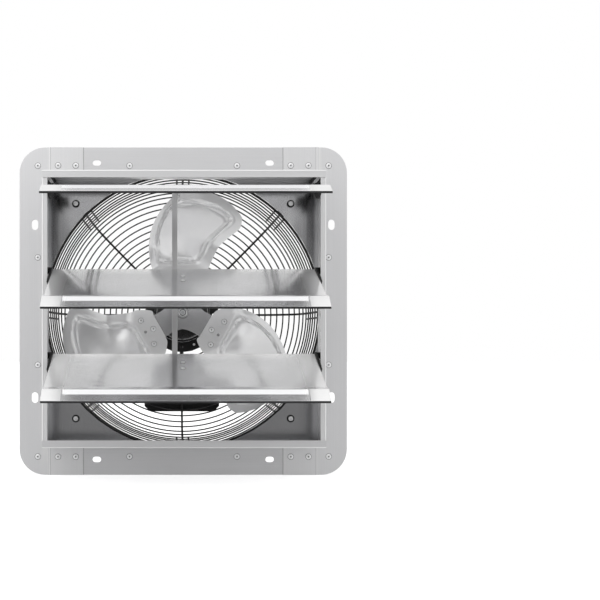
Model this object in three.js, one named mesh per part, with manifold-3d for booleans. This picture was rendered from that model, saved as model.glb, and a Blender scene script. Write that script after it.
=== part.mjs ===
// A shutter exhaust fan: a square sheet metal frame with three linked louvres in front, an axial fan
// behind a back plate, and a wire guard that carries the motor and its junction box.
// Millimetres. +X is to the right as seen from the louvres, +Y points from the louvres to the motor and
// +Z is up.
// The origin is on the fan's axis, in the front face of the flange, which is the face that bears on the wall.

import * as THREE from 'three';
import { mergeVertices } from 'three/addons/utils/BufferGeometryUtils.js';
import Module from 'manifold-3d';

const wasm = await Module();
wasm.setup();

// Clearances and one overrun for every cut
const GAP = 0.3;
const RUNNING_GAP = 0.5;
const OVERRUN = 2;

// How finely curves are divided
const MERGE_DISTANCE = 0.0001;
const SCREW_SIDES = 12;
const TURNED_SIDES = 24;
const OPENING_SIDES = 48;
const HEX_SIDES = 6;
const WIRE_SIDES = 3;
const ARC_STEPS = 4;
const OUTLINE_STEPS = 6;
const PROFILE_STEPS = 8;
const CABLE_STEPS = 12;
const RING_STEPS = 24;
const HALVINGS = 24;

// Frame
const SHEET = 1.2;
const FLANGE_SIZE = 500;
const FLANGE_CORNER_R = 39;
const FLANGE_BORDER_X = 43;
const FLANGE_BORDER_Z = 47.5;
const BOX_DEPTH = 65;
const SIDE_LIP = 8;
const CROSS_LIP = 11;
const LIP_GROOVE_WIDTH = 1;
const LIP_GROOVE_DEPTH = 0.5;
const LIP_GROOVE_INSET = 3.2;
const CORNER_TAB_LENGTH = 53;
const SLOT_FROM_CORNER = 118;
const SLOT_EDGE_INSET = 23.5;
const CROSS_SLOT_LENGTH = 13;
const CROSS_SLOT_WIDTH = 8.5;
const SIDE_SLOT_LENGTH = 16;
const SIDE_SLOT_WIDTH = 10;

// Back plate with the fan's opening
const BACK_PLATE_INSET = 5;
const FAN_OPENING_PAST_BOX = 4.5;
const PLATE_BOLT_MARGIN = 20.5;
const PLATE_BOLT_HEAD_R = 5.3;
const PLATE_BOLT_HEAD_HEIGHT = 3.4;
const PLATE_BOLT_R = 3;
const PLATE_BOLT_END = 4;

// Louvres: a profile bent from sheet, u forwards from the pivot and w upwards from the blade
const LOUVRE_SHEET = 1;
const LOUVRE_END_ROOM = 9;
const LOUVRE_BACK = 5;
const LOUVRE_SHORT_OF_PITCH = 18.4;
const LOUVRE_RIDGE_RUN = 17.6;
const LOUVRE_RIDGE_RISE = 5.5;
const LOUVRE_FALL_RUN = 6.9;
const LOUVRE_FALL = 4.8;
const LOUVRE_STRIP = 14.7;
const LOUVRE_STRIP_DROP = 2.6;
const LOUVRE_HEM = 2.4;
const PIVOT_FROM_FRONT = 20;
const PIVOT_FROM_TOP = 19.5;
const PIVOT_FROM_BOTTOM = 134.7;
const LOUVRE_COUNT = 3;
const TOP_REST_ANGLE = 13;
const LOWER_REST_ANGLE = 24;

// Nylon ends of the louvres, with the stub that turns in the bearing strip
const EAR_THICKNESS = 3;
const EAR_BACK = 8;
const EAR_LENGTH = 49;
const EAR_TOP = 4;
const EAR_BOTTOM = 18;
const EAR_DEEPEST_AT = 18;
const EAR_TONGUE_LENGTH = 12;
const EAR_TONGUE_START = 4;
const EAR_TONGUE_END = 36;
const EAR_TONGUE_HEIGHT = 2.2;
const STUB_R = 2.5;
const STUB_COLLAR_R = 5;
const STRIP_THICKNESS = 3;
const STRIP_WIDTH = 16;
const STRIP_END = 18;
const STRIP_SCREW_OFFSET = 9;
const STRIP_SCREW_HEAD_R = 4.2;
const STRIP_SCREW_HEAD = 1.8;
const STRIP_SCREW_R = 1.8;

// Link bar, an angle section, with a bracket under each louvre
const CRANK_R = 18;
const CRANK_ANGLE = 35;
const BAR_X = -9.3;
const BAR_WIDTH = 8;
const BAR_DEPTH = 10;
const BAR_SHEET = 1.2;
const BAR_END = 8;
const BRACKET_SHEET = 1.2;
const BRACKET_FOOT_WIDTH = 14;
const BRACKET_FOOT_START = 16;
const BRACKET_FOOT_END = 55;
const BRACKET_WEB_NOSE = 4;
const BRACKET_WEB_WAIST = 8;
const BRACKET_EYE_R = 5;
const LINK_PIN_R = 2;
const LINK_PIN_HEAD_R = 3.4;
const LINK_PIN_HEAD = 1.8;
const LINK_SLOT_ANGLES = [-7, 0, 7, 14];

// Guard: a basket of rings welded on eight ribs
const GUARD_FRONT_Y = 13;
const GUARD_DEPTH = 119.8;
const GUARD_INSIDE_OPENING = 0.5;
const GUARD_PROFILE_SHARES = [
  [0, 1], [0.26, 0.971], [0.521, 0.945], [0.694, 0.908], [0.78, 0.877], [0.87, 0.787], [0.93, 0.684],
  [0.985, 0.357], [1, 0.248],
];
const SIDE_RING_PITCH = 10.4;
const SIDE_RING_DEPTH_SHARE = 0.785;
const REAR_RING_PITCH = 9.6;
const REAR_RING_FROM_DISC = 9.4;
const REAR_RING_FROM_SIDE = 34;
const RING_WIRE_R = 1.2;
const BASE_WIRE_R = 2;
const RIB_WIDTH = 3;
const RIB_COUNT = 8;
const RIB_START_Y = 10;
const GUARD_FOOT_WIDTH = 13;
const GUARD_FOOT_THICKNESS = 2;
const GUARD_FOOT_OUTREACH = 8;

// Motor, between the guard's mounting disc and the fan
const MOUNT_DISC_RIM = 4;
const MOUNT_DISC_THICKNESS = 2;
const MOUNT_DISC_HOLE_ROOM = 4;
const FRONT_BELL_LENGTH = 22;
const FRONT_BELL_STEP = 3.5;
const STACK_LENGTH = 27.4;
const STACK_R = 45.5;
const STACK_BORE_R = 26;
const REAR_BELL_LENGTH = 30.7;
const REAR_BELL_STEP = 2;
const REAR_BELL_ROUND = 7;
const ROUND_ANGLES = [0, 30, 60, 90];
const BELL_WALL = 3;
const BELL_END_WALL = 3.6;
const BEARING_R = 13;
const BEARING_WIDTH = 8;
const BEARING_SEAT_WALL = 3.6;
const WINDING_STEP = 9.5;
const WINDING_SLEEVE = 2;
const WINDING_OVERHANG = 9;
const AIR_GAP = 0.7;
const SHAFT_R = 6;
const MOTOR_SCREW_OUTREACH = 5.5;
const MOTOR_SCREW_R = 2;
const MOTOR_SCREW_HEAD_R = 3.6;
const MOTOR_SCREW_HEAD = 3;
const MOTOR_LUG_OUTREACH = 10.5;
const MOTOR_LUG_WIDTH = 13;
const MOTOR_LUG_THICKNESS = 3;
const MOTOR_LUG_COUNT = 4;
const MOTOR_LUG_ANGLE = 22.5;

// Junction box behind the guard
const JUNCTION_WIDTH = 125;
const JUNCTION_TOP_Z = -108;
const JUNCTION_HEIGHT = 53;
const JUNCTION_DEPTH = 20;
const JUNCTION_COVER_DEPTH = 5;
const JUNCTION_WALL = 2;
const JUNCTION_CHAMFER = 9;
const COVER_SCREW_INSET = 6;
const COVER_SCREW_HEAD_R = 3;
const COVER_SCREW_HEAD = 1.6;
const COVER_SCREW_R = 1.5;
const COVER_SCREW_LENGTH = 9;
const SCREW_POST = 7;
const CAPACITOR_WIDTH = 37;
const CAPACITOR_DEPTH = 12;
const CAPACITOR_HEIGHT = 24;
const GLAND_R = 6.5;
const GLAND_HEIGHT = 9;
const CABLE_R = 3.5;
const CABLE_START_FROM_REAR = 11;
const CABLE_BULGE = 6;
// Shares of the drop, of the way back to the gland and of the bulge, at each point of the cable
const CABLE_SHARES = [[0, 0, 0], [0.2, 0, 0], [0.45, 0, 0.5], [0.75, 1, 0.5], [0.92, 1, 0], [1, 1, 0]];

// Fan: three blades riveted on a spider, clamped on the shaft with a sleeve, a washer and a bolt
const SPIDER_Y = 44;
const SPIDER_SHEET = 2;
const SPIDER_CROWN_R = 81;
const SPIDER_NECK_R = 38;
const SPIDER_WAIST_R = 25.8;
const SPIDER_ARM_HALF_ANGLE = 21;
const SPIDER_SHOULDER_R = 71;
const SLEEVE_R = 10.5;
const SLEEVE_FROM_MOTOR = 9.7;
const WASHER_R = 9;
const WASHER_THICKNESS = 1.4;
const HUB_BOLT_R = 4;
const HUB_BOLT_HEAD_R = 7;
const HUB_BOLT_HEAD = 5;
const HUB_BOLT_REACH = 2.7;
const BLADE_SHEET = 1.2;
const BLADE_COUNT = 3;
const BLADE_TIP_CLEARANCE = 24.5;
const BLADE_TIP_BULGE = 12.5;
const BLADE_ROOT_R = 45.7;
const BLADE_ROOT_HOLLOW = 3.7;
const BLADE_PITCH_SLOPE = 0.42;
const BLADE_CAMBER_R = 909;
const BLADE_FLAT_R = 74;
const BLADE_TWIST_R = 122;
const BLADE_EMBOSS = 3;
const BLADE_BULGE_POWER = 4;
// Where the raised panel's slopes start and end: from each side, from the root and from the tip
const PANEL_SIDE_SHARES = [0.1, 0.26];
const PANEL_ROOT_SHARES = [0.32, 0.42];
const PANEL_TIP_SHARES = [0.1, 0.22];
const BLADE_COLUMNS = 10;
const BLADE_ROWS = 11;
// Degrees clockwise from the blade's middle, and shares of the way from the root to the tip
const BLADE_LEFT_SHARES = [
  [-23, 0], [-34, 0.07], [-37, 0.18], [-34, 0.3], [-27, 0.49], [-20, 0.66], [-11, 0.845], [-2.6, 1],
];
const BLADE_RIGHT_SHARES = [
  [23, 0], [34, 0.07], [33, 0.18], [29.5, 0.3], [28.5, 0.49], [31, 0.66], [34, 0.845], [32, 0.96],
];

// Sizes that follow from those above
const FULL_TURN = 360;
const DEGREE = Math.PI / 180;
const BOX_WIDTH = FLANGE_SIZE - 2 * FLANGE_BORDER_X;
const BOX_HEIGHT = FLANGE_SIZE - 2 * FLANGE_BORDER_Z;
const HALF_FLANGE = FLANGE_SIZE / 2;
const HALF_BOX_X = BOX_WIDTH / 2;
const HALF_BOX_Z = BOX_HEIGHT / 2;
const SLOT_SIDE = HALF_FLANGE - SLOT_FROM_CORNER;
const FAN_OPENING_R = HALF_BOX_X + FAN_OPENING_PAST_BOX;
const PLATE_BOLT_X = (FAN_OPENING_R + PLATE_BOLT_MARGIN) * Math.SQRT1_2;
const PIVOT_Y = PIVOT_FROM_FRONT - BOX_DEPTH;
const TOP_PIVOT_Z = HALF_BOX_Z - PIVOT_FROM_TOP;
const PIVOT_PITCH = (BOX_HEIGHT - PIVOT_FROM_TOP - PIVOT_FROM_BOTTOM) / (LOUVRE_COUNT - 1);
const PIVOT_ZS = [...Array(LOUVRE_COUNT).keys()].map((i) => TOP_PIVOT_Z - i * PIVOT_PITCH);
const LOUVRE_FLAT = PIVOT_PITCH - LOUVRE_SHORT_OF_PITCH;
const STRIP_OUT_X = HALF_BOX_X - SHEET - GAP;
const STRIP_IN_X = STRIP_OUT_X - STRIP_THICKNESS;
const LOUVRE_WIDTH = 2 * (STRIP_IN_X - LOUVRE_END_ROOM);
const GUARD_R = FAN_OPENING_R - GUARD_INSIDE_OPENING;
const FRONT_BELL_R = STACK_R - FRONT_BELL_STEP;
const REAR_BELL_R = STACK_R + REAR_BELL_STEP;
const WINDING_R = STACK_R - WINDING_STEP;
const ROTOR_CORE_R = STACK_BORE_R - GAP - WINDING_SLEEVE - AIR_GAP;
const MOTOR_SCREW_RING_R = REAR_BELL_R + MOTOR_SCREW_OUTREACH;
const MOTOR_LUG_R = REAR_BELL_R + MOTOR_LUG_OUTREACH;
const MOUNT_DISC_R = MOTOR_LUG_R + MOUNT_DISC_RIM;
const MOUNT_DISC_HOLE_R = WINDING_R + MOUNT_DISC_HOLE_ROOM;
const BLADE_TIP_R = FAN_OPENING_R - BLADE_TIP_CLEARANCE;

// Guard profile: [y, radius] along the basket, from its front ring to the ribs' inner ends
const guardCurve = new THREE.CatmullRomCurve3(GUARD_PROFILE_SHARES.map(([depth, radius]) => new THREE.Vector3(
  GUARD_FRONT_Y + depth * GUARD_DEPTH, radius * GUARD_R, 0,
)), false, 'centripetal');

// The guard's profile where one of its coordinates has a value, found by halving, since both run one way
function guardPoint(coordinate, value) {
  let low = 0;
  let high = 1;
  const rising = guardCurve.getPoint(1)[coordinate] > guardCurve.getPoint(0)[coordinate];
  for (let i = 0; i < HALVINGS; i += 1) {
    const middle = (low + high) / 2;
    const past = guardCurve.getPoint(middle)[coordinate] > value;
    if (past === rising) high = middle;
    else low = middle;
  }
  const point = guardCurve.getPoint((low + high) / 2);
  return [point.x, point.y];
}

// Places along Y
const BOX_FRONT_Y = -BOX_DEPTH;
const BACK_PLATE_Y = SHEET + GAP;
const BACK_PLATE_REAR_Y = BACK_PLATE_Y + SHEET;
const GUARD_FOOT_Y = BACK_PLATE_REAR_Y + GAP;
const DISC_REAR_Y = guardPoint('y', MOUNT_DISC_R)[0] - RIB_WIDTH / 2 - 2 * GAP;
const DISC_FRONT_Y = DISC_REAR_Y - MOUNT_DISC_THICKNESS;
const STACK_REAR_Y = DISC_FRONT_Y - GAP;
const STACK_FRONT_Y = STACK_REAR_Y - STACK_LENGTH;
const FRONT_BELL_REAR_Y = STACK_FRONT_Y - GAP;
const FRONT_BELL_Y = FRONT_BELL_REAR_Y - FRONT_BELL_LENGTH;
const REAR_BELL_Y = DISC_REAR_Y + GAP;
const MOTOR_REAR_Y = REAR_BELL_Y + REAR_BELL_LENGTH;

// Materials
const steelFinish = (color) => new THREE.MeshStandardMaterial({ color, roughness: 0.35, metalness: 1 });
const blackFinish = (roughness) => new THREE.MeshStandardMaterial(
  { color: 0x101012, roughness, metalness: 0 },
);
const frameSteel = steelFinish(0xc8c8ca);
const plateSteel = steelFinish(0xa2a3a5);
const bladeAluminium = steelFinish(0xd6d7d8);
const zincSteel = steelFinish(0xb6b8ba);
const coreSteel = steelFinish(0x8a8d92);
const copper = steelFinish(0xb36a3c);
const guardPaint = blackFinish(0.35);
const motorPaint = blackFinish(0.4);
const nylon = blackFinish(0.6);
const cableSheath = blackFinish(0.55);

const part = new THREE.Group();

// Solids from three.js geometry, and back again
function solid(geometry) {
  geometry.deleteAttribute('normal');
  geometry.deleteAttribute('uv');
  const merged = mergeVertices(geometry, MERGE_DISTANCE);
  return new wasm.Manifold(new wasm.Mesh({
    numProp: 3,
    vertProperties: new Float32Array(merged.attributes.position.array),
    triVerts: new Uint32Array(merged.index.array),
  }));
}

function addMesh(name, body, material, parent = part) {
  const made = body.getMesh();
  const geometry = new THREE.BufferGeometry();
  geometry.setAttribute('position', new THREE.BufferAttribute(new Float32Array(made.vertProperties), 3));
  geometry.setIndex(new THREE.BufferAttribute(new Uint32Array(made.triVerts), 1));
  const flat = geometry.toNonIndexed();
  flat.computeVertexNormals();
  const mesh = new THREE.Mesh(flat, material);
  mesh.name = name;
  parent.add(mesh);
  return mesh;
}

const join = (bodies) => bodies.reduce((all, body) => all.add(body));
const cut = (body, tools) => tools.reduce((left, tool) => left.subtract(tool), body);

function box(x, y, z) {
  const geometry = new THREE.BoxGeometry(x[1] - x[0], y[1] - y[0], z[1] - z[0]);
  geometry.translate((x[0] + x[1]) / 2, (y[0] + y[1]) / 2, (z[0] + z[1]) / 2);
  return solid(geometry);
}

// A round bar between two places along the X, Y or Z axis; at gives the two other coordinates in order
function roundBar(axis, radius, from, to, at, sides = SCREW_SIDES) {
  const geometry = new THREE.CylinderGeometry(radius, radius, to - from, sides);
  const middle = (from + to) / 2;
  if (axis === 'x') geometry.rotateZ(-Math.PI / 2).translate(middle, at[0], at[1]);
  if (axis === 'y') geometry.translate(at[0], middle, at[1]);
  if (axis === 'z') geometry.rotateX(Math.PI / 2).translate(at[0], at[1], middle);
  return solid(geometry);
}

// A flat outline drawn in X and Z, from one Y to another
function plateXZ(shape, fromY, toY, curveSegments = OUTLINE_STEPS) {
  const depth = toY - fromY;
  const geometry = new THREE.ExtrudeGeometry(shape, { depth, bevelEnabled: false, curveSegments });
  geometry.rotateX(Math.PI / 2).translate(0, toY, 0);
  return solid(geometry);
}

// An outline drawn in u (towards -Y) and w (towards +Z), from one X to another
function profileX(shape, fromX, toX, curveSegments = PROFILE_STEPS) {
  const depth = toX - fromX;
  const geometry = new THREE.ExtrudeGeometry(shape, { depth, bevelEnabled: false, curveSegments });
  geometry.applyMatrix4(new THREE.Matrix4().makeBasis(
    new THREE.Vector3(0, -1, 0), new THREE.Vector3(0, 0, 1), new THREE.Vector3(-1, 0, 0),
  ));
  geometry.translate(toX, 0, 0);
  return solid(geometry);
}

// A turned piece about the fan's axis; the profile is a list of [radius, y] points that ends where it starts
function turned(profile) {
  const closed = [...profile, profile[0]];
  const geometry = new THREE.LatheGeometry(closed.map(([r, y]) => new THREE.Vector2(r, y)), TURNED_SIDES);
  return solid(geometry);
}

function ringBody(inner, outer, fromY, toY) {
  return turned([[inner, fromY], [outer, fromY], [outer, toY], [inner, toY]]);
}

function slotCutter(length, width) {
  const straight = (length - width) / 2;
  const shape = new THREE.Shape();
  shape.absarc(straight, 0, width / 2, -Math.PI / 2, Math.PI / 2, false);
  shape.absarc(-straight, 0, width / 2, Math.PI / 2, 1.5 * Math.PI, false);
  return plateXZ(shape, -OVERRUN, BACK_PLATE_REAR_Y + OVERRUN, ARC_STEPS);
}

// The eight mounting slots, as cutters
function slotCutters() {
  const cutters = [];
  const edge = HALF_FLANGE - SLOT_EDGE_INSET;
  for (const side of [-1, 1]) {
    for (const along of [-1, 1]) {
      const cross = slotCutter(CROSS_SLOT_LENGTH, CROSS_SLOT_WIDTH);
      cutters.push(cross.translate([along * SLOT_SIDE, 0, side * edge]));
      const upright = slotCutter(SIDE_SLOT_LENGTH, SIDE_SLOT_WIDTH);
      cutters.push(upright.rotate([0, 90, 0]).translate([side * edge, 0, along * SLOT_SIDE]));
    }
  }
  return cutters;
}

function roundedSquare(half, radius) {
  const shape = new THREE.Shape();
  const inner = half - radius;
  shape.absarc(inner, inner, radius, 0, Math.PI / 2, false);
  shape.absarc(-inner, inner, radius, Math.PI / 2, Math.PI, false);
  shape.absarc(-inner, -inner, radius, Math.PI, 1.5 * Math.PI, false);
  shape.absarc(inner, -inner, radius, 1.5 * Math.PI, 2 * Math.PI, false);
  return shape;
}

// One side of the frame: flange, wall, front lip and the two corner tabs that lap over the cross members
function sideChannel(side) {
  const wallIn = HALF_BOX_X - SHEET;
  const blank = plateXZ(roundedSquare(HALF_FLANGE, FLANGE_CORNER_R), 0, SHEET);
  const outside = box([wallIn, HALF_FLANGE + OVERRUN], [0, SHEET], [-HALF_FLANGE, HALF_FLANGE]);
  const flange = blank.intersect(outside);
  const wallTop = HALF_BOX_Z - SHEET - GAP;
  const lipFront = BOX_FRONT_Y + SHEET + GAP;
  const wall = box([wallIn, HALF_BOX_X], [lipFront, SHEET], [-wallTop, wallTop]);
  const lip = box([HALF_BOX_X - SIDE_LIP, HALF_BOX_X], [lipFront, lipFront + SHEET], [-wallTop, wallTop]);
  const tabs = [-1, 1].map((up) => {
    const tabRear = -GAP;
    const span = [HALF_BOX_Z + GAP, HALF_FLANGE].map((z) => z * up).sort((a, b) => a - b);
    const tab = box([wallIn - CORNER_TAB_LENGTH, HALF_BOX_X], [tabRear - SHEET, tabRear], span);
    return tab.add(box([wallIn, HALF_BOX_X], [tabRear - SHEET, SHEET], span));
  });
  const grooveX = HALF_BOX_X - LIP_GROOVE_INSET;
  const groove = box(
    [grooveX - LIP_GROOVE_WIDTH, grooveX],
    [lipFront - OVERRUN, lipFront + LIP_GROOVE_DEPTH],
    [-HALF_BOX_Z, HALF_BOX_Z],
  );
  const screws = stripScrewZs().map((z) => roundBar('x', STRIP_SCREW_R + GAP, wallIn - OVERRUN,
    HALF_BOX_X + OVERRUN, [PIVOT_Y, z]));
  const right = cut(join([flange, wall, lip, ...tabs]), [groove, ...screws]);
  return cut(side > 0 ? right : right.mirror([1, 0, 0]), slotCutters());
}

// The top or bottom of the frame
function crossChannel(up) {
  const flangeX = HALF_BOX_X - SHEET - GAP;
  const flange = box([-flangeX, flangeX], [0, SHEET], [HALF_BOX_Z - SHEET, HALF_FLANGE]);
  const wallRear = box([-flangeX, flangeX], [-OVERRUN, SHEET], [HALF_BOX_Z - SHEET, HALF_BOX_Z]);
  const wall = box([-HALF_BOX_X, HALF_BOX_X], [BOX_FRONT_Y, -GAP], [HALF_BOX_Z - SHEET, HALF_BOX_Z]);
  const lip = box(
    [-HALF_BOX_X, HALF_BOX_X],
    [BOX_FRONT_Y, BOX_FRONT_Y + SHEET],
    [HALF_BOX_Z - CROSS_LIP, HALF_BOX_Z],
  );
  const body = join([flange, wallRear, wall, lip]);
  return cut(up > 0 ? body : body.mirror([0, 0, 1]), slotCutters());
}

function platePlaces() {
  return [[-1, 1], [1, 1], [-1, -1], [1, -1]].map(([x, z]) => [x * PLATE_BOLT_X, z * PLATE_BOLT_X]);
}

function backPlate() {
  const half = HALF_FLANGE - BACK_PLATE_INSET;
  const blank = plateXZ(roundedSquare(half, FLANGE_CORNER_R), BACK_PLATE_Y, BACK_PLATE_REAR_Y);
  const opening = roundBar('y', FAN_OPENING_R, -OVERRUN, BACK_PLATE_REAR_Y + OVERRUN, [0, 0],
    OPENING_SIDES);
  const holes = platePlaces().map((at) => roundBar('y', PLATE_BOLT_R + GAP, -OVERRUN,
    BACK_PLATE_REAR_Y + OVERRUN, at));
  return cut(blank, [opening, ...holes, ...slotCutters()]);
}

function plateBolt([x, z]) {
  const headRear = BACK_PLATE_Y - GAP;
  const head = roundBar('y', PLATE_BOLT_HEAD_R, headRear - PLATE_BOLT_HEAD_HEIGHT, headRear, [x, z]);
  const end = GUARD_FOOT_Y + GUARD_FOOT_THICKNESS + PLATE_BOLT_END;
  return head.add(roundBar('y', PLATE_BOLT_R, headRear - SHEET, end, [x, z]));
}

// Louvres
function bentStrip(points, thickness) {
  // Offsets a bent centre line by half the sheet on both sides
  const upper = [];
  const lower = [];
  points.forEach(([u, w], i) => {
    const before = points[Math.max(i - 1, 0)];
    const after = points[Math.min(i + 1, points.length - 1)];
    const inDir = new THREE.Vector2(u - before[0], w - before[1]).normalize();
    const outDir = new THREE.Vector2(after[0] - u, after[1] - w).normalize();
    const along = inDir.clone().add(outDir).normalize();
    const straight = i === 0 ? outDir : inDir;
    const reach = thickness / 2 / Math.max(along.dot(straight), thickness / 2 / LOUVRE_HEM);
    upper.push([u - along.y * reach, w + along.x * reach]);
    lower.push([u + along.y * reach, w - along.x * reach]);
  });
  return new THREE.Shape([...lower, ...upper.reverse()].map(([u, w]) => new THREE.Vector2(u, w)));
}

function louvreLine() {
  const crest = LOUVRE_FLAT + LOUVRE_RIDGE_RUN;
  const foot = crest + LOUVRE_FALL_RUN;
  const front = foot + LOUVRE_STRIP;
  const footW = LOUVRE_RIDGE_RISE - LOUVRE_FALL;
  const frontW = footW - LOUVRE_STRIP_DROP;
  return [
    [-LOUVRE_BACK, 0], [LOUVRE_FLAT, 0], [crest, LOUVRE_RIDGE_RISE], [foot, footW], [front, frontW],
    [front, frontW - LOUVRE_HEM],
  ];
}

function louvreSheet() {
  return profileX(bentStrip(louvreLine(), LOUVRE_SHEET), -LOUVRE_WIDTH / 2, LOUVRE_WIDTH / 2);
}

function louvreEar(side) {
  const leaf = new THREE.Shape();
  leaf.moveTo(-EAR_BACK, 0);
  leaf.quadraticCurveTo(-EAR_BACK, EAR_TOP, 0, EAR_TOP);
  leaf.quadraticCurveTo(EAR_DEEPEST_AT * 2, EAR_TOP, EAR_LENGTH, 0);
  leaf.quadraticCurveTo(EAR_DEEPEST_AT * 2, -EAR_BOTTOM, EAR_DEEPEST_AT, -EAR_BOTTOM);
  leaf.quadraticCurveTo(-EAR_BACK, -EAR_BOTTOM, -EAR_BACK, 0);
  const inX = LOUVRE_WIDTH / 2 + GAP;
  const outX = inX + EAR_THICKNESS;
  const tongueTop = -LOUVRE_SHEET / 2 - GAP;
  const body = join([
    profileX(leaf, inX, outX, OUTLINE_STEPS),
    box([inX - EAR_TONGUE_LENGTH, outX], [-EAR_TONGUE_END, -EAR_TONGUE_START],
      [tongueTop - EAR_TONGUE_HEIGHT, tongueTop]),
    roundBar('x', STUB_COLLAR_R, outX - GAP, STRIP_IN_X - GAP, [0, 0]),
    roundBar('x', STUB_R, outX - GAP, STRIP_OUT_X - GAP, [0, 0]),
  ]);
  return side > 0 ? body : body.mirror([1, 0, 0]);
}

// The crank's angle below the blade's line, which puts the link pin at one place whatever the blade's
// rest angle
function linkBracket(rest, slotted) {
  const top = -LOUVRE_SHEET / 2 - GAP;
  const angle = (CRANK_ANGLE + rest) * DEGREE;
  const eye = [-CRANK_R * Math.cos(angle), -CRANK_R * Math.sin(angle)];
  const webX = BAR_X + GAP;
  const web = new THREE.Shape();
  web.moveTo(BRACKET_FOOT_END, top);
  web.lineTo(BRACKET_FOOT_END, top - BRACKET_WEB_NOSE);
  web.lineTo(BRACKET_FOOT_START, top - BRACKET_WEB_WAIST - BRACKET_EYE_R);
  web.absarc(eye[0], eye[1], BRACKET_EYE_R, -Math.PI / 2, -1.25 * Math.PI, true);
  web.lineTo(BRACKET_FOOT_START - BRACKET_WEB_WAIST, top - BRACKET_EYE_R / 2);
  web.lineTo(BRACKET_FOOT_START, top);
  const foot = box([webX, webX + BRACKET_FOOT_WIDTH], [-BRACKET_FOOT_END, -BRACKET_FOOT_START],
    [top - BRACKET_SHEET, top]);
  const body = profileX(web, webX, webX + BRACKET_SHEET).add(foot);
  const holeR = LINK_PIN_R + RUNNING_GAP;
  const swings = slotted ? LINK_SLOT_ANGLES : [0];
  const holes = swings.map((swing) => {
    const a = angle + swing * DEGREE;
    const at = [CRANK_R * Math.cos(a), -CRANK_R * Math.sin(a)];
    return roundBar('x', holeR, webX - OVERRUN, webX + BRACKET_SHEET + OVERRUN, at);
  });
  return cut(body, holes);
}

function addLouvre(name, pivotZ, rest, slotted) {
  const group = new THREE.Group();
  group.position.set(0, PIVOT_Y, pivotZ);
  group.rotation.x = rest * DEGREE;
  addMesh(`louvre_${name}`, louvreSheet(), bladeAluminium, group);
  addMesh(`louvre_ear_left_${name}`, louvreEar(-1), nylon, group);
  addMesh(`louvre_ear_right_${name}`, louvreEar(1), nylon, group);
  addMesh(`link_bracket_${name}`, linkBracket(rest, slotted), zincSteel, group);
  part.add(group);
}

function stripScrewZs() {
  return [PIVOT_ZS[0] + STRIP_SCREW_OFFSET, PIVOT_ZS[LOUVRE_COUNT - 1] - STRIP_SCREW_OFFSET];
}

function bearingStrip(side) {
  const top = Math.min(PIVOT_ZS[0] + STRIP_END, HALF_BOX_Z - SHEET - GAP);
  const bodyZ = [PIVOT_ZS[LOUVRE_COUNT - 1] - STRIP_END, top];
  const body = box([STRIP_IN_X, STRIP_OUT_X], [PIVOT_Y - STRIP_WIDTH / 2, PIVOT_Y + STRIP_WIDTH / 2], bodyZ);
  const bores = PIVOT_ZS.map((z) => roundBar('x', STUB_R + GAP, STRIP_IN_X - OVERRUN, STRIP_OUT_X + OVERRUN,
    [PIVOT_Y, z]));
  const screws = stripScrewZs().map((z) => roundBar('x', STRIP_SCREW_R + GAP, STRIP_IN_X - OVERRUN,
    STRIP_OUT_X + OVERRUN, [PIVOT_Y, z]));
  const right = cut(body, [...bores, ...screws]);
  return side > 0 ? right : right.mirror([1, 0, 0]);
}

function stripScrew(side, z) {
  const headIn = HALF_BOX_X + GAP;
  const head = roundBar('x', STRIP_SCREW_HEAD_R, headIn, headIn + STRIP_SCREW_HEAD, [PIVOT_Y, z]);
  const shank = roundBar('x', STRIP_SCREW_R, STRIP_IN_X, headIn + STRIP_SCREW_HEAD / 2, [PIVOT_Y, z]);
  const right = head.add(shank);
  return side > 0 ? right : right.mirror([1, 0, 0]);
}

// Where the link pins stand: behind the pivots and below them
function pinPlace(pivotZ) {
  const below = CRANK_ANGLE * DEGREE;
  return [PIVOT_Y + CRANK_R * Math.cos(below), pivotZ - CRANK_R * Math.sin(below)];
}

function linkBar() {
  const [pinY, topZ] = pinPlace(PIVOT_ZS[0]);
  const [, bottomZ] = pinPlace(PIVOT_ZS[LOUVRE_COUNT - 1]);
  const z = [bottomZ - BAR_END, topZ + BAR_END];
  const frontY = pinY - BAR_DEPTH / 2;
  const face = box([BAR_X - BAR_WIDTH, BAR_X], [frontY - BAR_SHEET, frontY], z);
  const web = box([BAR_X - BAR_SHEET, BAR_X], [frontY - BAR_SHEET, frontY + BAR_DEPTH], z);
  const holes = PIVOT_ZS.map((pivotZ) => roundBar('x', LINK_PIN_R + GAP, BAR_X - BAR_SHEET - OVERRUN,
    BAR_X + OVERRUN, pinPlace(pivotZ)));
  return cut(face.add(web), holes);
}

function linkPin(pivotZ) {
  const at = pinPlace(pivotZ);
  const bracketOut = BAR_X + GAP + BRACKET_SHEET + GAP;
  const barIn = BAR_X - BAR_SHEET - GAP;
  return join([
    roundBar('x', LINK_PIN_R, barIn - LINK_PIN_HEAD, bracketOut + LINK_PIN_HEAD, at),
    roundBar('x', LINK_PIN_HEAD_R, barIn - LINK_PIN_HEAD, barIn, at),
    roundBar('x', LINK_PIN_HEAD_R, bracketOut, bracketOut + LINK_PIN_HEAD, at),
  ]);
}

function wireRing(y, radius, wireR) {
  const geometry = new THREE.TorusGeometry(radius, wireR, WIRE_SIDES, RING_STEPS);
  geometry.rotateX(Math.PI / 2).translate(0, y, 0);
  return solid(geometry);
}

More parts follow.
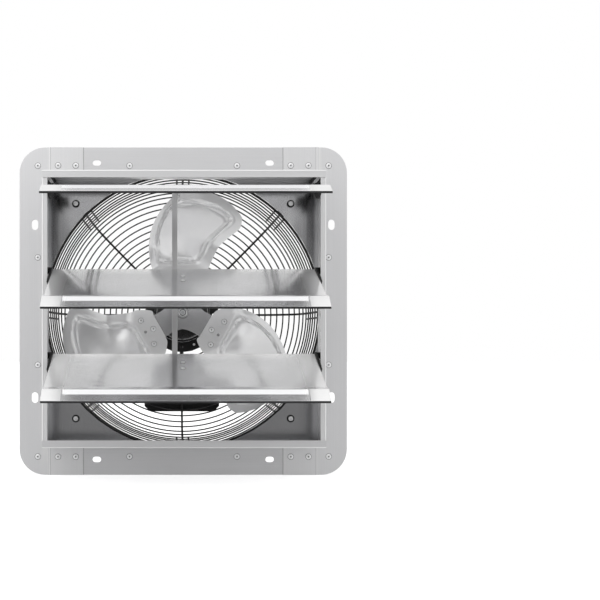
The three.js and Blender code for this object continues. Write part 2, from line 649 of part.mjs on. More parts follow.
function guardRib(turn, endR) {
  const outer = [];
  const inner = [];
  const half = RIB_WIDTH / 2;
  const samples = GUARD_PROFILE_SHARES.length;
  const endAt = [...Array(samples + 1).keys()].map((i) => i / samples);
  const front = endR ? GUARD_FOOT_Y : RIB_START_Y;
  outer.push([GUARD_R + half, front]);
  inner.push([GUARD_R - half, front]);
  endAt.forEach((t) => {
    const p = guardCurve.getPoint(t);
    const d = guardCurve.getTangent(t);
    outer.push([p.y + d.x * half, p.x - d.y * half]);
    inner.push([p.y - d.x * half, p.x + d.y * half]);
  });
  const shape = new THREE.Shape([...outer, ...inner.reverse()].map(([r, y]) => new THREE.Vector2(r, y)));
  const geometry = new THREE.ExtrudeGeometry(shape, { depth: RIB_WIDTH, bevelEnabled: false });
  geometry.translate(0, 0, -half);
  return solid(geometry).rotate([0, turn, 0]);
}

function guardFoot([x, z]) {
  const reach = Math.hypot(x, z);
  const foot = box(
    [GUARD_R - RIB_WIDTH / 2, reach + GUARD_FOOT_OUTREACH],
    [GUARD_FOOT_Y, GUARD_FOOT_Y + GUARD_FOOT_THICKNESS],
    [-GUARD_FOOT_WIDTH / 2, GUARD_FOOT_WIDTH / 2],
  ).rotate([0, -Math.atan2(z, x) / DEGREE, 0]);
  return foot.subtract(roundBar('y', PLATE_BOLT_R + GAP, -OVERRUN, GUARD_FRONT_Y, [x, z]));
}

function rearGuard() {
  const rings = [wireRing(GUARD_FRONT_Y, GUARD_R, BASE_WIRE_R)];
  for (let depth = SIDE_RING_PITCH; depth < GUARD_DEPTH * SIDE_RING_DEPTH_SHARE; depth += SIDE_RING_PITCH) {
    rings.push(wireRing(...guardPoint('x', GUARD_FRONT_Y + depth), RING_WIRE_R));
  }
  const outermost = GUARD_R - REAR_RING_FROM_SIDE + GAP;
  for (let r = MOUNT_DISC_R + REAR_RING_FROM_DISC; r < outermost; r += REAR_RING_PITCH) {
    rings.push(wireRing(...guardPoint('y', r), RING_WIRE_R));
  }
  const ribs = [...Array(RIB_COUNT).keys()].map((i) => guardRib((i * FULL_TURN) / RIB_COUNT, i % 2));
  return join([...ribs, ...rings, ...platePlaces().map(guardFoot)]);
}

// Motor
function motorScrewPlaces() {
  return [...Array(MOTOR_LUG_COUNT).keys()].map((i) => {
    const turn = (MOTOR_LUG_ANGLE + (i * FULL_TURN) / MOTOR_LUG_COUNT) * DEGREE;
    return [MOTOR_SCREW_RING_R * Math.cos(turn), MOTOR_SCREW_RING_R * Math.sin(turn)];
  });
}

const motorScrewHoles = () => motorScrewPlaces().map((at) => roundBar('y', MOTOR_SCREW_R + GAP,
  DISC_FRONT_Y - OVERRUN, REAR_BELL_Y + MOTOR_LUG_THICKNESS + OVERRUN, at));

function mountDisc() {
  return cut(ringBody(MOUNT_DISC_HOLE_R, MOUNT_DISC_R, DISC_FRONT_Y, DISC_REAR_Y), motorScrewHoles());
}

function frontBell() {
  const seatRear = FRONT_BELL_Y + BELL_END_WALL + GAP + BEARING_WIDTH;
  const seatIn = BEARING_R + GAP;
  return turned([
    [SHAFT_R + RUNNING_GAP * 2, FRONT_BELL_Y],
    [FRONT_BELL_R, FRONT_BELL_Y],
    [FRONT_BELL_R, FRONT_BELL_REAR_Y],
    [FRONT_BELL_R - BELL_WALL, FRONT_BELL_REAR_Y],
    [FRONT_BELL_R - BELL_WALL, FRONT_BELL_Y + BELL_END_WALL],
    [seatIn + BEARING_SEAT_WALL, FRONT_BELL_Y + BELL_END_WALL],
    [seatIn + BEARING_SEAT_WALL, seatRear],
    [seatIn, seatRear],
    [seatIn, FRONT_BELL_Y + BELL_END_WALL],
    [SHAFT_R + RUNNING_GAP * 2, FRONT_BELL_Y + BELL_END_WALL],
  ]);
}

function rearBell() {
  const endIn = MOTOR_REAR_Y - BELL_END_WALL;
  const seatFront = endIn - GAP - BEARING_WIDTH;
  const seatIn = BEARING_R + GAP;
  const innerR = REAR_BELL_R - BELL_WALL;
  const round = ROUND_ANGLES.map((a) => [
    REAR_BELL_R - REAR_BELL_ROUND * (1 - Math.cos(a * DEGREE)),
    MOTOR_REAR_Y - REAR_BELL_ROUND * (1 - Math.sin(a * DEGREE)),
  ]);
  const innerRound = innerR - REAR_BELL_ROUND / 2;
  const shell = turned([
    [innerR, REAR_BELL_Y],
    [REAR_BELL_R, REAR_BELL_Y],
    ...round,
    [0, MOTOR_REAR_Y],
    [0, endIn],
    [seatIn, endIn],
    [seatIn, seatFront],
    [seatIn + BEARING_SEAT_WALL, seatFront],
    [seatIn + BEARING_SEAT_WALL, endIn],
    [innerRound, endIn],
    [innerR, endIn - REAR_BELL_ROUND / 2],
  ]);
  const lugs = motorScrewPlaces().map(([x, z]) => box(
    [innerR + BELL_WALL / 2, MOTOR_LUG_R],
    [REAR_BELL_Y, REAR_BELL_Y + MOTOR_LUG_THICKNESS],
    [-MOTOR_LUG_WIDTH / 2, MOTOR_LUG_WIDTH / 2],
  ).rotate([0, -Math.atan2(z, x) / DEGREE, 0]));
  return cut(join([shell, ...lugs]), motorScrewHoles());
}

function winding() {
  const sleeveOut = STACK_BORE_R - GAP;
  const sleeveIn = sleeveOut - WINDING_SLEEVE;
  const frontFace = STACK_FRONT_Y - GAP;
  const rearFace = STACK_REAR_Y + GAP;
  return turned([
    [sleeveIn, frontFace - WINDING_OVERHANG],
    [WINDING_R, frontFace - WINDING_OVERHANG],
    [WINDING_R, frontFace],
    [sleeveOut, frontFace],
    [sleeveOut, rearFace],
    [WINDING_R, rearFace],
    [WINDING_R, rearFace + WINDING_OVERHANG],
    [sleeveIn, rearFace + WINDING_OVERHANG],
  ]);
}

function motorScrew([x, z]) {
  const headFront = REAR_BELL_Y + MOTOR_LUG_THICKNESS + GAP;
  const head = roundBar('y', MOTOR_SCREW_HEAD_R, headFront, headFront + MOTOR_SCREW_HEAD, [x, z]);
  const shankFront = headFront + MOTOR_SCREW_HEAD / 2;
  return head.add(roundBar('y', MOTOR_SCREW_R, DISC_FRONT_Y - OVERRUN, shankFront, [x, z]));
}

// Junction box: a tray and a cover, seated on the guard's rear rings
const JUNCTION_FRONT_Y = guardPoint('y', -JUNCTION_TOP_Z)[0] + RIB_WIDTH / 2 + GAP;
const JUNCTION_REAR_Y = JUNCTION_FRONT_Y + JUNCTION_DEPTH;
const COVER_FRONT_Y = JUNCTION_REAR_Y - JUNCTION_COVER_DEPTH;

function junctionShape(inset) {
  const half = JUNCTION_WIDTH / 2 - inset;
  const top = JUNCTION_TOP_Z - inset;
  const bottom = JUNCTION_TOP_Z - JUNCTION_HEIGHT + inset;
  const chamfer = JUNCTION_CHAMFER - inset / 2;
  return new THREE.Shape([
    [-half, top], [-half, bottom + chamfer], [-half + chamfer, bottom], [half - chamfer, bottom],
    [half, bottom + chamfer], [half, top],
  ].map(([x, z]) => new THREE.Vector2(x, z)));
}

function coverScrewPlaces() {
  const x = JUNCTION_WIDTH / 2 - COVER_SCREW_INSET;
  const z = JUNCTION_TOP_Z - COVER_SCREW_INSET;
  return [[-x, z], [x, z]];
}

function screwPosts(fromY, toY) {
  const half = SCREW_POST / 2;
  return coverScrewPlaces().map(([x, z]) => box([x - half, x + half], [fromY, toY], [z - half, z + half]));
}

function junctionBase() {
  const rear = COVER_FRONT_Y - GAP;
  const outside = plateXZ(junctionShape(0), JUNCTION_FRONT_Y, rear);
  const hollow = plateXZ(junctionShape(JUNCTION_WALL), JUNCTION_FRONT_Y + JUNCTION_WALL, rear + OVERRUN);
  const posts = screwPosts(JUNCTION_FRONT_Y, rear);
  const bores = coverScrewPlaces().map((at) => roundBar('y', COVER_SCREW_R + GAP,
    JUNCTION_REAR_Y - COVER_SCREW_LENGTH - OVERRUN, rear + OVERRUN, at));
  return cut(join([outside.subtract(hollow), ...posts]), bores);
}

function junctionCover() {
  const outside = plateXZ(junctionShape(0), COVER_FRONT_Y, JUNCTION_REAR_Y);
  const hollowRear = JUNCTION_REAR_Y - JUNCTION_WALL;
  const hollow = plateXZ(junctionShape(JUNCTION_WALL), COVER_FRONT_Y - OVERRUN, hollowRear);
  const posts = screwPosts(COVER_FRONT_Y, JUNCTION_REAR_Y);
  const bores = coverScrewPlaces().map((at) => roundBar('y', COVER_SCREW_R + GAP, COVER_FRONT_Y - OVERRUN,
    JUNCTION_REAR_Y + OVERRUN, at));
  return cut(join([outside.subtract(hollow), ...posts]), bores);
}

function coverScrew([x, z]) {
  const seat = JUNCTION_REAR_Y + GAP;
  const head = roundBar('y', COVER_SCREW_HEAD_R, seat, seat + COVER_SCREW_HEAD, [x, z]);
  return head.add(roundBar('y', COVER_SCREW_R, JUNCTION_REAR_Y - COVER_SCREW_LENGTH,
    seat + COVER_SCREW_HEAD / 2, [x, z]));
}

function capacitor() {
  const front = JUNCTION_FRONT_Y + JUNCTION_WALL + GAP;
  const bottom = JUNCTION_TOP_Z - JUNCTION_HEIGHT + JUNCTION_WALL + GAP;
  return box([-CAPACITOR_WIDTH / 2, CAPACITOR_WIDTH / 2], [front, front + CAPACITOR_DEPTH],
    [bottom, bottom + CAPACITOR_HEIGHT]);
}

const GLAND_Y = (JUNCTION_FRONT_Y + COVER_FRONT_Y) / 2;
const GLAND_TOP_Z = JUNCTION_TOP_Z + GAP + GLAND_HEIGHT;

function motorCable() {
  const startY = MOTOR_REAR_Y - CABLE_START_FROM_REAR;
  const startZ = -REAR_BELL_R - 2 * GAP;
  const endZ = GLAND_TOP_Z + GAP;
  const route = new THREE.CatmullRomCurve3(CABLE_SHARES.map(([down, back, bulge]) => new THREE.Vector3(
    0,
    THREE.MathUtils.lerp(startY, GLAND_Y, back) + bulge * CABLE_BULGE,
    THREE.MathUtils.lerp(startZ, endZ, down),
  )), false, 'centripetal');
  const section = new THREE.Shape();
  section.absarc(0, 0, CABLE_R, 0, 2 * Math.PI, false);
  const geometry = new THREE.ExtrudeGeometry(section, {
    steps: CABLE_STEPS, extrudePath: route, curveSegments: ARC_STEPS,
  });
  return solid(geometry);
}

// Fan
function fanSpider() {
  const shape = new THREE.Shape();
  const at = (turn, r) => [r * Math.sin(turn * DEGREE), r * Math.cos(turn * DEGREE)];
  const step = FULL_TURN / BLADE_COUNT;
  shape.moveTo(...at(-step / 2, SPIDER_WAIST_R));
  for (let i = 0; i < BLADE_COUNT; i += 1) {
    const turn = i * step;
    const left = at(turn - SPIDER_ARM_HALF_ANGLE, SPIDER_SHOULDER_R);
    const right = at(turn + SPIDER_ARM_HALF_ANGLE, SPIDER_SHOULDER_R);
    shape.quadraticCurveTo(...at(turn - SPIDER_ARM_HALF_ANGLE, SPIDER_NECK_R), ...left);
    shape.quadraticCurveTo(...at(turn, SPIDER_CROWN_R), ...right);
    shape.quadraticCurveTo(...at(turn + SPIDER_ARM_HALF_ANGLE, SPIDER_NECK_R),
      ...at(turn + step / 2, SPIDER_WAIST_R));
  }
  const plate = plateXZ(shape, SPIDER_Y, SPIDER_Y + SPIDER_SHEET);
  const bore = roundBar('y', HUB_BOLT_R + GAP, SPIDER_Y - OVERRUN, SPIDER_Y + SPIDER_SHEET + OVERRUN, [0, 0]);
  return plate.subtract(bore);
}

// A blade's edge: angle and distance share from the root, by a smooth curve through the chosen points
function edgePoint(edge, v) {
  const places = edge.map(([turn, share]) => new THREE.Vector3(turn, share, 0));
  const curve = new THREE.CatmullRomCurve3(places, false, 'centripetal');
  const point = curve.getPoint(v);
  return [point.x, BLADE_ROOT_R + point.y * (BLADE_TIP_R - BLADE_ROOT_R)];
}

const slope = ([start, end], value) => THREE.MathUtils.smoothstep(value, start, end);

// The front face of a blade at u across it and v along it
function bladePoint(u, v) {
  const [leftTurn, leftR] = edgePoint(BLADE_LEFT_SHARES, v);
  const [rightTurn, rightR] = edgePoint(BLADE_RIGHT_SHARES, v);
  const turn = THREE.MathUtils.lerp(leftTurn, rightTurn, u) * DEGREE;
  const bulge = 4 * u * (1 - u) * (BLADE_TIP_BULGE * v ** BLADE_BULGE_POWER
    - BLADE_ROOT_HOLLOW * (1 - v) ** BLADE_BULGE_POWER);
  const r = THREE.MathUtils.lerp(leftR, rightR, u) + bulge;
  const across = r * Math.sin(turn);
  const twisted = slope([BLADE_FLAT_R, BLADE_TWIST_R], r);
  const pitch = across * (BLADE_PITCH_SLOPE - across / BLADE_CAMBER_R) * twisted;
  const raised = slope(PANEL_SIDE_SHARES, u) * slope(PANEL_SIDE_SHARES, 1 - u)
    * slope(PANEL_ROOT_SHARES, v) * slope(PANEL_TIP_SHARES, 1 - v);
  const rearFace = SPIDER_Y - GAP;
  return [across, rearFace - BLADE_SHEET + pitch - raised * BLADE_EMBOSS, r * Math.cos(turn)];
}

function fanBlade(turn) {
  const positions = [];
  const index = [];
  const across = BLADE_COLUMNS + 1;
  const count = across * (BLADE_ROWS + 1);
  for (const shift of [0, BLADE_SHEET]) {
    for (let row = 0; row <= BLADE_ROWS; row += 1) {
      for (let column = 0; column <= BLADE_COLUMNS; column += 1) {
        const [x, y, z] = bladePoint(column / BLADE_COLUMNS, row / BLADE_ROWS);
        positions.push(x, y + shift, z);
      }
    }
  }
  const quad = (a, b, c, d) => index.push(a, b, c, a, c, d);
  for (let row = 0; row < BLADE_ROWS; row += 1) {
    for (let column = 0; column < BLADE_COLUMNS; column += 1) {
      const a = row * across + column;
      quad(a, a + 1, a + 1 + across, a + across);
      quad(a + count, a + count + across, a + count + across + 1, a + count + 1);
    }
  }
  const rim = [];
  for (let column = 0; column < BLADE_COLUMNS; column += 1) rim.push(column);
  for (let row = 0; row < BLADE_ROWS; row += 1) rim.push(row * across + BLADE_COLUMNS);
  for (let column = BLADE_COLUMNS; column > 0; column -= 1) rim.push(BLADE_ROWS * across + column);
  for (let row = BLADE_ROWS; row > 0; row -= 1) rim.push(row * across);
  rim.forEach((a, i) => {
    const b = rim[(i + 1) % rim.length];
    quad(b, a, a + count, b + count);
  });
  const geometry = new THREE.BufferGeometry();
  geometry.setAttribute('position', new THREE.BufferAttribute(new Float32Array(positions), 3));
  geometry.setIndex(index);
  return solid(geometry).rotate([0, turn, 0]);
}

function hubBolt() {
  const washerFront = SPIDER_Y - GAP - WASHER_THICKNESS;
  const headRear = washerFront - GAP;
  const head = roundBar('y', HUB_BOLT_HEAD_R, headRear - HUB_BOLT_HEAD, headRear, [0, 0], HEX_SIDES);
  const shankRear = SPIDER_Y + SPIDER_SHEET + HUB_BOLT_REACH;
  return head.add(roundBar('y', HUB_BOLT_R, headRear - GAP, shankRear, [0, 0]));
}

const SLEEVE_FRONT_Y = SPIDER_Y + SPIDER_SHEET + GAP;
const SLEEVE_REAR_Y = FRONT_BELL_Y - SLEEVE_FROM_MOTOR;
const SHAFT_FRONT_Y = SPIDER_Y + SPIDER_SHEET + HUB_BOLT_REACH + GAP;
const SHAFT_REAR_Y = MOTOR_REAR_Y - BELL_END_WALL - GAP;

// The frame
for (const [name, side] of [['left', -1], ['right', 1]]) {
  addMesh(`side_channel_${name}`, sideChannel(side), frameSteel);
  addMesh(`bearing_strip_${name}`, bearingStrip(side), nylon);
  stripScrewZs().forEach((z, i) => addMesh(`strip_screw_${name}_${i + 1}`, stripScrew(side, z), zincSteel));
}
addMesh('top_channel', crossChannel(1), frameSteel);
addMesh('bottom_channel', crossChannel(-1), frameSteel);
addMesh('back_plate', backPlate(), plateSteel);
platePlaces().forEach((at, i) => addMesh(`plate_bolt_${i + 1}`, plateBolt(at), zincSteel));

// The louvres and their link
addLouvre('top', PIVOT_ZS[0], TOP_REST_ANGLE, true);
addLouvre('middle', PIVOT_ZS[1], LOWER_REST_ANGLE, false);
addLouvre('bottom', PIVOT_ZS[LOUVRE_COUNT - 1], LOWER_REST_ANGLE, false);
addMesh('link_bar', linkBar(), bladeAluminium);
PIVOT_ZS.forEach((z, i) => addMesh(`link_pin_${i + 1}`, linkPin(z), zincSteel));

// The guard and the motor
addMesh('rear_guard', rearGuard(), guardPaint);
addMesh('motor_mount_disc', mountDisc(), guardPaint);
addMesh('motor_front_housing', frontBell(), motorPaint);
addMesh('motor_rear_housing', rearBell(), motorPaint);
motorScrewPlaces().forEach((at, i) => addMesh(`motor_screw_${i + 1}`, motorScrew(at), zincSteel));
addMesh('stator_core', ringBody(STACK_BORE_R, STACK_R, STACK_FRONT_Y, STACK_REAR_Y), coreSteel);
addMesh('stator_winding', winding(), copper);
const frontBearingY = FRONT_BELL_Y + BELL_END_WALL + GAP;
const rearBearingY = MOTOR_REAR_Y - BELL_END_WALL - GAP - BEARING_WIDTH;
const bearingAt = (y) => ringBody(SHAFT_R + GAP, BEARING_R, y, y + BEARING_WIDTH);
addMesh('front_bearing', bearingAt(frontBearingY), zincSteel);
addMesh('rear_bearing', bearingAt(rearBearingY), zincSteel);
addMesh('junction_box_base', junctionBase(), nylon);
addMesh('junction_box_cover', junctionCover(), nylon);
coverScrewPlaces().forEach((at, i) => addMesh(`cover_screw_${i + 1}`, coverScrew(at), zincSteel));
addMesh('capacitor', capacitor(), nylon);
addMesh('cable_gland', roundBar('z', GLAND_R, JUNCTION_TOP_Z + GAP, GLAND_TOP_Z, [0, GLAND_Y]), nylon);
addMesh('motor_cable', motorCable(), cableSheath);

// The fan and the motor's rotor
addMesh('motor_shaft', roundBar('y', SHAFT_R, SHAFT_FRONT_Y, SHAFT_REAR_Y, [0, 0], TURNED_SIDES), zincSteel);
addMesh('rotor_core', ringBody(SHAFT_R + GAP, ROTOR_CORE_R, STACK_FRONT_Y, STACK_REAR_Y), coreSteel);
addMesh('hub_sleeve', ringBody(SHAFT_R + GAP, SLEEVE_R, SLEEVE_FRONT_Y, SLEEVE_REAR_Y), zincSteel);
addMesh('blade_spider', fanSpider(), plateSteel);
for (let i = 0; i < BLADE_COUNT; i += 1) {
  addMesh(`fan_blade_${i + 1}`, fanBlade((i * FULL_TURN) / BLADE_COUNT), bladeAluminium);
}
const washerRear = SPIDER_Y - GAP;
const washerFront = washerRear - WASHER_THICKNESS;
addMesh('hub_washer', ringBody(HUB_BOLT_R + GAP, WASHER_R, washerFront, washerRear), zincSteel);
addMesh('hub_bolt', hubBolt(), zincSteel);

export default part;
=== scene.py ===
"""A shutter exhaust fan: a square sheet metal frame with three linked louvres in front, an axial fan
behind its back plate, and a wire guard that carries the motor and its junction box.

Metres. +X is to the right as seen from the louvres, +Y points from the louvres to the motor, +Z is up.
The origin is on the fan's axis, in the front face of the flange.
"""
import math
from contextlib import contextmanager

import bmesh
import bpy
from mathutils import Matrix, Vector, noise


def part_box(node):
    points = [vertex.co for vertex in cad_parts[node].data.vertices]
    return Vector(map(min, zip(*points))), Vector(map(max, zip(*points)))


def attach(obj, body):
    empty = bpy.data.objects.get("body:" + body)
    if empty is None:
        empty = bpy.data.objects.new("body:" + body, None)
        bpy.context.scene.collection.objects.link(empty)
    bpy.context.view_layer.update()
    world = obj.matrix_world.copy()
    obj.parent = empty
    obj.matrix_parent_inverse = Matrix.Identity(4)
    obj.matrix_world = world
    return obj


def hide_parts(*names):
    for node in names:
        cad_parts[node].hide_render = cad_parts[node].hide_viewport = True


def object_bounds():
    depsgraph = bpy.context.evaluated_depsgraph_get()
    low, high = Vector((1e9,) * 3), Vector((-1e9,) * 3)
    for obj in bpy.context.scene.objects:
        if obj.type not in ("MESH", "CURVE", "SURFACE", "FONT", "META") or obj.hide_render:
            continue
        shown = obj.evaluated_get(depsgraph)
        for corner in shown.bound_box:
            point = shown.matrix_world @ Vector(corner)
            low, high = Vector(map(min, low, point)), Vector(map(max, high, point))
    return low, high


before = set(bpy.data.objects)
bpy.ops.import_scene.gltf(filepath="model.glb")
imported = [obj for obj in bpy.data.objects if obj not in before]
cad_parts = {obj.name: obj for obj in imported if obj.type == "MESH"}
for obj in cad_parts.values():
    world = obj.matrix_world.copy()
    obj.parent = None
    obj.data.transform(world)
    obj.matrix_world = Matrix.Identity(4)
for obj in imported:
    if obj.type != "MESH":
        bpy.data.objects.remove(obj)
cad_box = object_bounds()

# Frame
SHEET = 0.0012
GAP = 0.0003
EDGE_ROUNDING = 0.0003
THICK_ROUNDING = 0.0004
MOULDED_ROUNDING = 0.0005
BOX_HALF_X = 0.207
BOX_HALF_Z = 0.2025
BOX_DEPTH = 0.065
WALL_BEND = 0.008
LIP_BEND = 0.0015
WIDE_FACE = 0.0005
SHEET_RIM = 0.0005
CORNER_STRIP = 0.014
CORNER_FOLD = 0.0045
CORNER_DROP = 0.0074
TAB_LENGTH = 0.053
TAB_FOLD_X = 0.2025
LINE_HALF_WIDTH = 0.0006

# Rivets and bolts: profiles of heads as shares of their radius, with a share of the rise or a depth
RIVET_LINE = 0.222
RIVET_PLACES = (0.222, 0.191, 0.164, 0.082)
RIVET_R = 0.0042
RIVET_RISE = 0.0017
RIVET_SEAT = (1.1, 0.0001)
RIVET_PROFILE = ((0.08, 0.35), (0.26, 0.3), (0.32, 0.95), (0.4, 1), (0.66, 0.84), (0.88, 0.5), (1, 0.12),
                 (1.14, 0.08))
# Rivet heads keep their zinc between these shares of their radius, and are painted dark as shade inside and
# outside them
RIVET_BRIGHT_SHARES = (0.25, 1.0)
BRACKET_RIVET_SCALE = 0.8
BLADE_RIVET_SCALE = 0.95
PLATE_BOLT_R = 0.0058
PLATE_SHANK_R = 0.003
PLATE_BOLT_PROFILE = ((0.25, 0), (0.62, 0.0003), (0.72, 0.0013), (0.74, 0.0024), (1, 0.0026), (1, 0.0034))
PLATE_BOLT_BRIGHT_SHARE = 0.64
SLOT_SIZE = (0.0044, 0.0009, 0.0008)
HUB_BOLT_R = 0.004
HUB_HEAD_R = 0.0068
HUB_HEAD_PROFILE = ((0.30, 0.0026), (0.42, 0.0024), (0.46, 0), (0.62, 0), (0.66, 0.0007), (0.74, 0.0007),
                    (0.78, 0), (0.92, 0.0003), (1, 0.0012))
# The hub bolt's head is painted dark as shade in its groove, between these shares of its radius
HUB_HEAD_DARK_SHARES = (0.63, 0.77)
WASHER_RIM = 0.0006
WASHER_PROFILE = ((1, WASHER_RIM), (0.95, 0.0001), (0.86, 0), (0.82, WASHER_RIM))
# The washer is painted dark as shade in its groove, between these shares of its radius, and on its outer
# edge, beyond the edge share
WASHER_DARK_SHARES = (0.80, 0.87)
WASHER_EDGE_SHARE = 0.96

# Louvres: u runs forwards from the pivot and w upwards from the flat
LOUVRE_SHEET = 0.001
LOUVRE_WIDTH = 0.387
LOUVRE_BACK = 0.005
LOUVRE_FLAT = 0.107
LOUVRE_RIDGE = (0.1246, 0.0055)
LOUVRE_FOOT = (0.1315, 0.0007)
LOUVRE_FRONT = (0.1462, -0.0019)
LOUVRE_HEM = 0.0024
LOUVRE_HEM_NORMALS = (-0.4, -0.9)
LOUVRE_BEND = 0.0008
LOUVRE_PLAIN_END = 0.028
LOUVRE_PLAIN_X = LOUVRE_WIDTH / 2 - LOUVRE_PLAIN_END
LOUVRE_WARP = 0.00035
LOUVRE_WAVES = (14, 9)
LOUVRE_WAVE_STEP = 7.3
LOUVRE_GRID = (24, 8)
PIVOT_Y = -0.045
PIVOTS = {"top": (0.183, 13.0), "middle": (0.0576, 24.0), "bottom": (-0.0678, 24.0)}
BRACKET_ROUNDING = 0.0002
BRACKET_RIVET_X = -0.002
BRACKET_RIVETS = (0.026, 0.047)

# Guard
GUARD_FRONT_Y = 0.013
GUARD_DEPTH = 0.1198
GUARD_R = 0.211
GUARD_SHARES = ((0, 1), (0.26, 0.971), (0.521, 0.945), (0.694, 0.908), (0.78, 0.877), (0.87, 0.787),
                (0.93, 0.684), (0.985, 0.357), (1, 0.248))
GUARD_CURVE_STEPS = 8
SIDE_RING_PITCH = 0.0104
SIDE_RING_COUNT = 10
REAR_RING_PITCH = 0.0096
REAR_RING_COUNT = 12
REAR_RING_FIRST_R = 0.177
RING_WIRE_R = 0.0011
BASE_WIRE_R = 0.002
RIB_WIRE_R = 0.0017
RIB_COUNT = 8
RING_SIDES = (96, 8)
SIDE_WIRE_OFFSET = 0.0094
SIDE_WIRE_END_Y = 0.067
SIDE_WIRE_FORWARD = 0.003
SIDE_WIRE_R = RIB_WIRE_R * 0.8
GUARD_FOOT = (0.013, 0.002, 0.008)
GUARD_FOOT_Y = 0.003
GUARD_NUT = (0.0055, 0.003)

# Motor: profiles of housings as a radius or a step in from the outer radius, with a depth
MOTOR_SCREW_RING_R = 0.053
MOTOR_SCREW_TURN = 22.5
DISC_HOLE_R = 0.0027
FRONT_HOUSING_R = 0.042
FRONT_CENTRE = ((0.007, 0.0006), (0.016, 0.0006), (0.0175, 0), (0.019, 0.0006))
FRONT_ROUNDING = ((0.005, 0.0006), (0.0015, 0.002), (0, 0.0055))
FRONT_WALL = 0.004
FRONT_INNER_DEPTH = 0.0045
FRONT_CHAMFER = (0.0008, 0.002)
REAR_HOUSING_R = 0.0475
REAR_CENTRE = ((0.001, 0.0006), (0.012, 0.0006), (0.014, 0))
REAR_ROUNDING = ((0.009, 0), (0.0045, 0.0012), (0.0015, 0.004), (0, 0.008))
REAR_LIP = ((0, 0.004), (0.0007, 0.0035), (0.0007, 0), (0.004, 0))
HOUSING_SIDES = 64
LUG_RADII = (-0.002, 0.0085)
LUG_SIZE = (0.013, 0.003)
LUG_ROUNDING = 0.001
CORE_END_NORMAL = 0.5

# Junction box and its cable
GLAND_NUT_HEIGHT = 0.004
GLAND_CAP_SHARE = 0.85
GLAND_CAP_ROUNDING = 0.0015
JUNCTION_BOX_ROUNDING = 0.0008
CABLE_R = 0.0033
CABLE_EXIT = 0.011
CABLE_BULGE = 0.006
CABLE_STEPS = 6
CABLE_SHARES = ((0, 0, 0), (0.2, 0, 0), (0.45, 0, 0.5), (0.75, 1, 0.5), (0.92, 1, 0), (1, 1, 0))

# Fan: a place on a blade starts with its angle from the blade's middle, and one of the edges' places ends
# with its share of the blade's length
SPIDER_Y = 0.044
BLADE_SHEET = 0.0012
BLADE_COUNT = 3
BLADE_TIP_R = 0.187
BLADE_TIP_BULGE = 0.0125
BLADE_ROOT_R = 0.0457
BLADE_ROOT_HOLLOW = 0.0037
BLADE_PITCH_SLOPE = 0.42
BLADE_CAMBER_R = 0.909
BLADE_FLAT_R = 0.074
BLADE_TWIST_R = 0.122
PANEL_RISE = 0.0038
PANEL_BORDER = (0.0225, 0.0275)
PANEL_BEAD = (0.0195, 0.0018, 0.0034)
PANEL_SIDE_SCALES = (1.6, 1.25)
PANEL_ROOT = 0.0785
PANEL_CORNER = 0.005
BLADE_GRID = (48, 56)
BLADE_LEFT = ((-23, 0), (-34, 0.07), (-37, 0.18), (-34, 0.3), (-27, 0.49), (-20, 0.66), (-11, 0.845),
              (-2.6, 1))
BLADE_RIGHT = ((23, 0), (34, 0.07), (33, 0.18), (29.5, 0.3), (28.5, 0.49), (31, 0.66), (34, 0.845),
               (32, 0.96))
BLADE_RIVETS = ((-17.5, 0.067), (1, 0.053), (19, 0.067))
BLADE_HOLE = (2.2, 0.066, 0.0024)
CUT_OVERRUN = 0.01

# Surfaces
SHEET_CONTRAST = (0.7, 1.3)
GRAIN_CONTRAST = (0.3, 0.7)
LINE_CLOUD = (1.0, 5.0, 0.65)
CLOUD_DETAIL = 3.0
GRAIN_DETAIL = 4.0
DUST_CLOUD = (25.0, 6.0)
DUST_CONTRAST = (0.4, 0.7)
DUST_TILT = (-0.2, 1.0)
DUST_ON_WALLS = 0.15
METAL_WORN = (0.51, 0.58)
METAL_DUST = (0.12, (0.62, 0.62, 0.60))
COAT_WORN = (0.53, 0.64)
COAT_EDGE = (0.03, 0.03, 0.03)
COAT_DUST = (0.04, (0.16, 0.16, 0.15))
PLAIN_END_COLOUR = (0.92, 0.92, 0.92)
BUMP_DEPTH = 0.0002

# Stage
FLOOR_GLOW = 0.55
FLOOR_MIRRORED = 0.8
FLOOR_COLOUR = 0.96
FLOOR_ROUGHNESS = 0.9
FLOOR_SHINE = 0.1
LIGHT_BELOW = 0.3
LIGHT_ABOVE = 0.8
DARK_SIDE = 0.25
DARK_PITCH = -10
DARK_ANGLES = (12, 30)
MIRRORED_ABOVE = 0.52
OVERHEAD = (0.78, 0.9)
FLOOR_SIZE = 60
FLOOR_DROP = 0.0005
LAMPS = {"overhead": ((0.0, -0.5, 1.3), (0, -0.1, 0), 1.3, 4.5),
         "front_left": ((-1.3, -1.6, 0.9), (0, 0, 0), 1.2, 3.6)}
CAMERA_PLACE = (-0.025, -1.364, -0.070)
CAMERA_LENS = (53.6, 36)
CAMERA_SHIFT = (0.2219, 0.095)
CAMERA_CLIP = (0.01, 100)

# Tolerances
SAME_PLACE = 1e-4
SAME_POINT = 1e-6
CAD_SAME_POINT = 2e-5
CAD_SAME_ANGLE = 1


# Modelling

def deselect():
    bpy.ops.object.select_all(action="DESELECT")


def take(piece):
    """Makes a piece the only selected one."""
    deselect()
    piece.select_set(True)
    bpy.context.view_layer.objects.active = piece


def added(name, data):
    """A new object of the scene."""
    made = bpy.data.objects.new(name, data)
    bpy.context.collection.objects.link(made)
    return made


@contextmanager
def editing(piece):
    """Edit mode on one piece, with all of it selected."""
    take(piece)
    bpy.ops.object.mode_set(mode="EDIT")
    bpy.ops.mesh.select_all(action="SELECT")
    yield
    bpy.ops.object.mode_set(mode="OBJECT")


def named(name):
    """The primitive just added, with its place taken into its mesh."""
    piece = bpy.context.active_object
    piece.name = piece.data.name = name
    take(piece)
    bpy.ops.object.transform_apply(location=True, rotation=True, scale=True)
    return piece


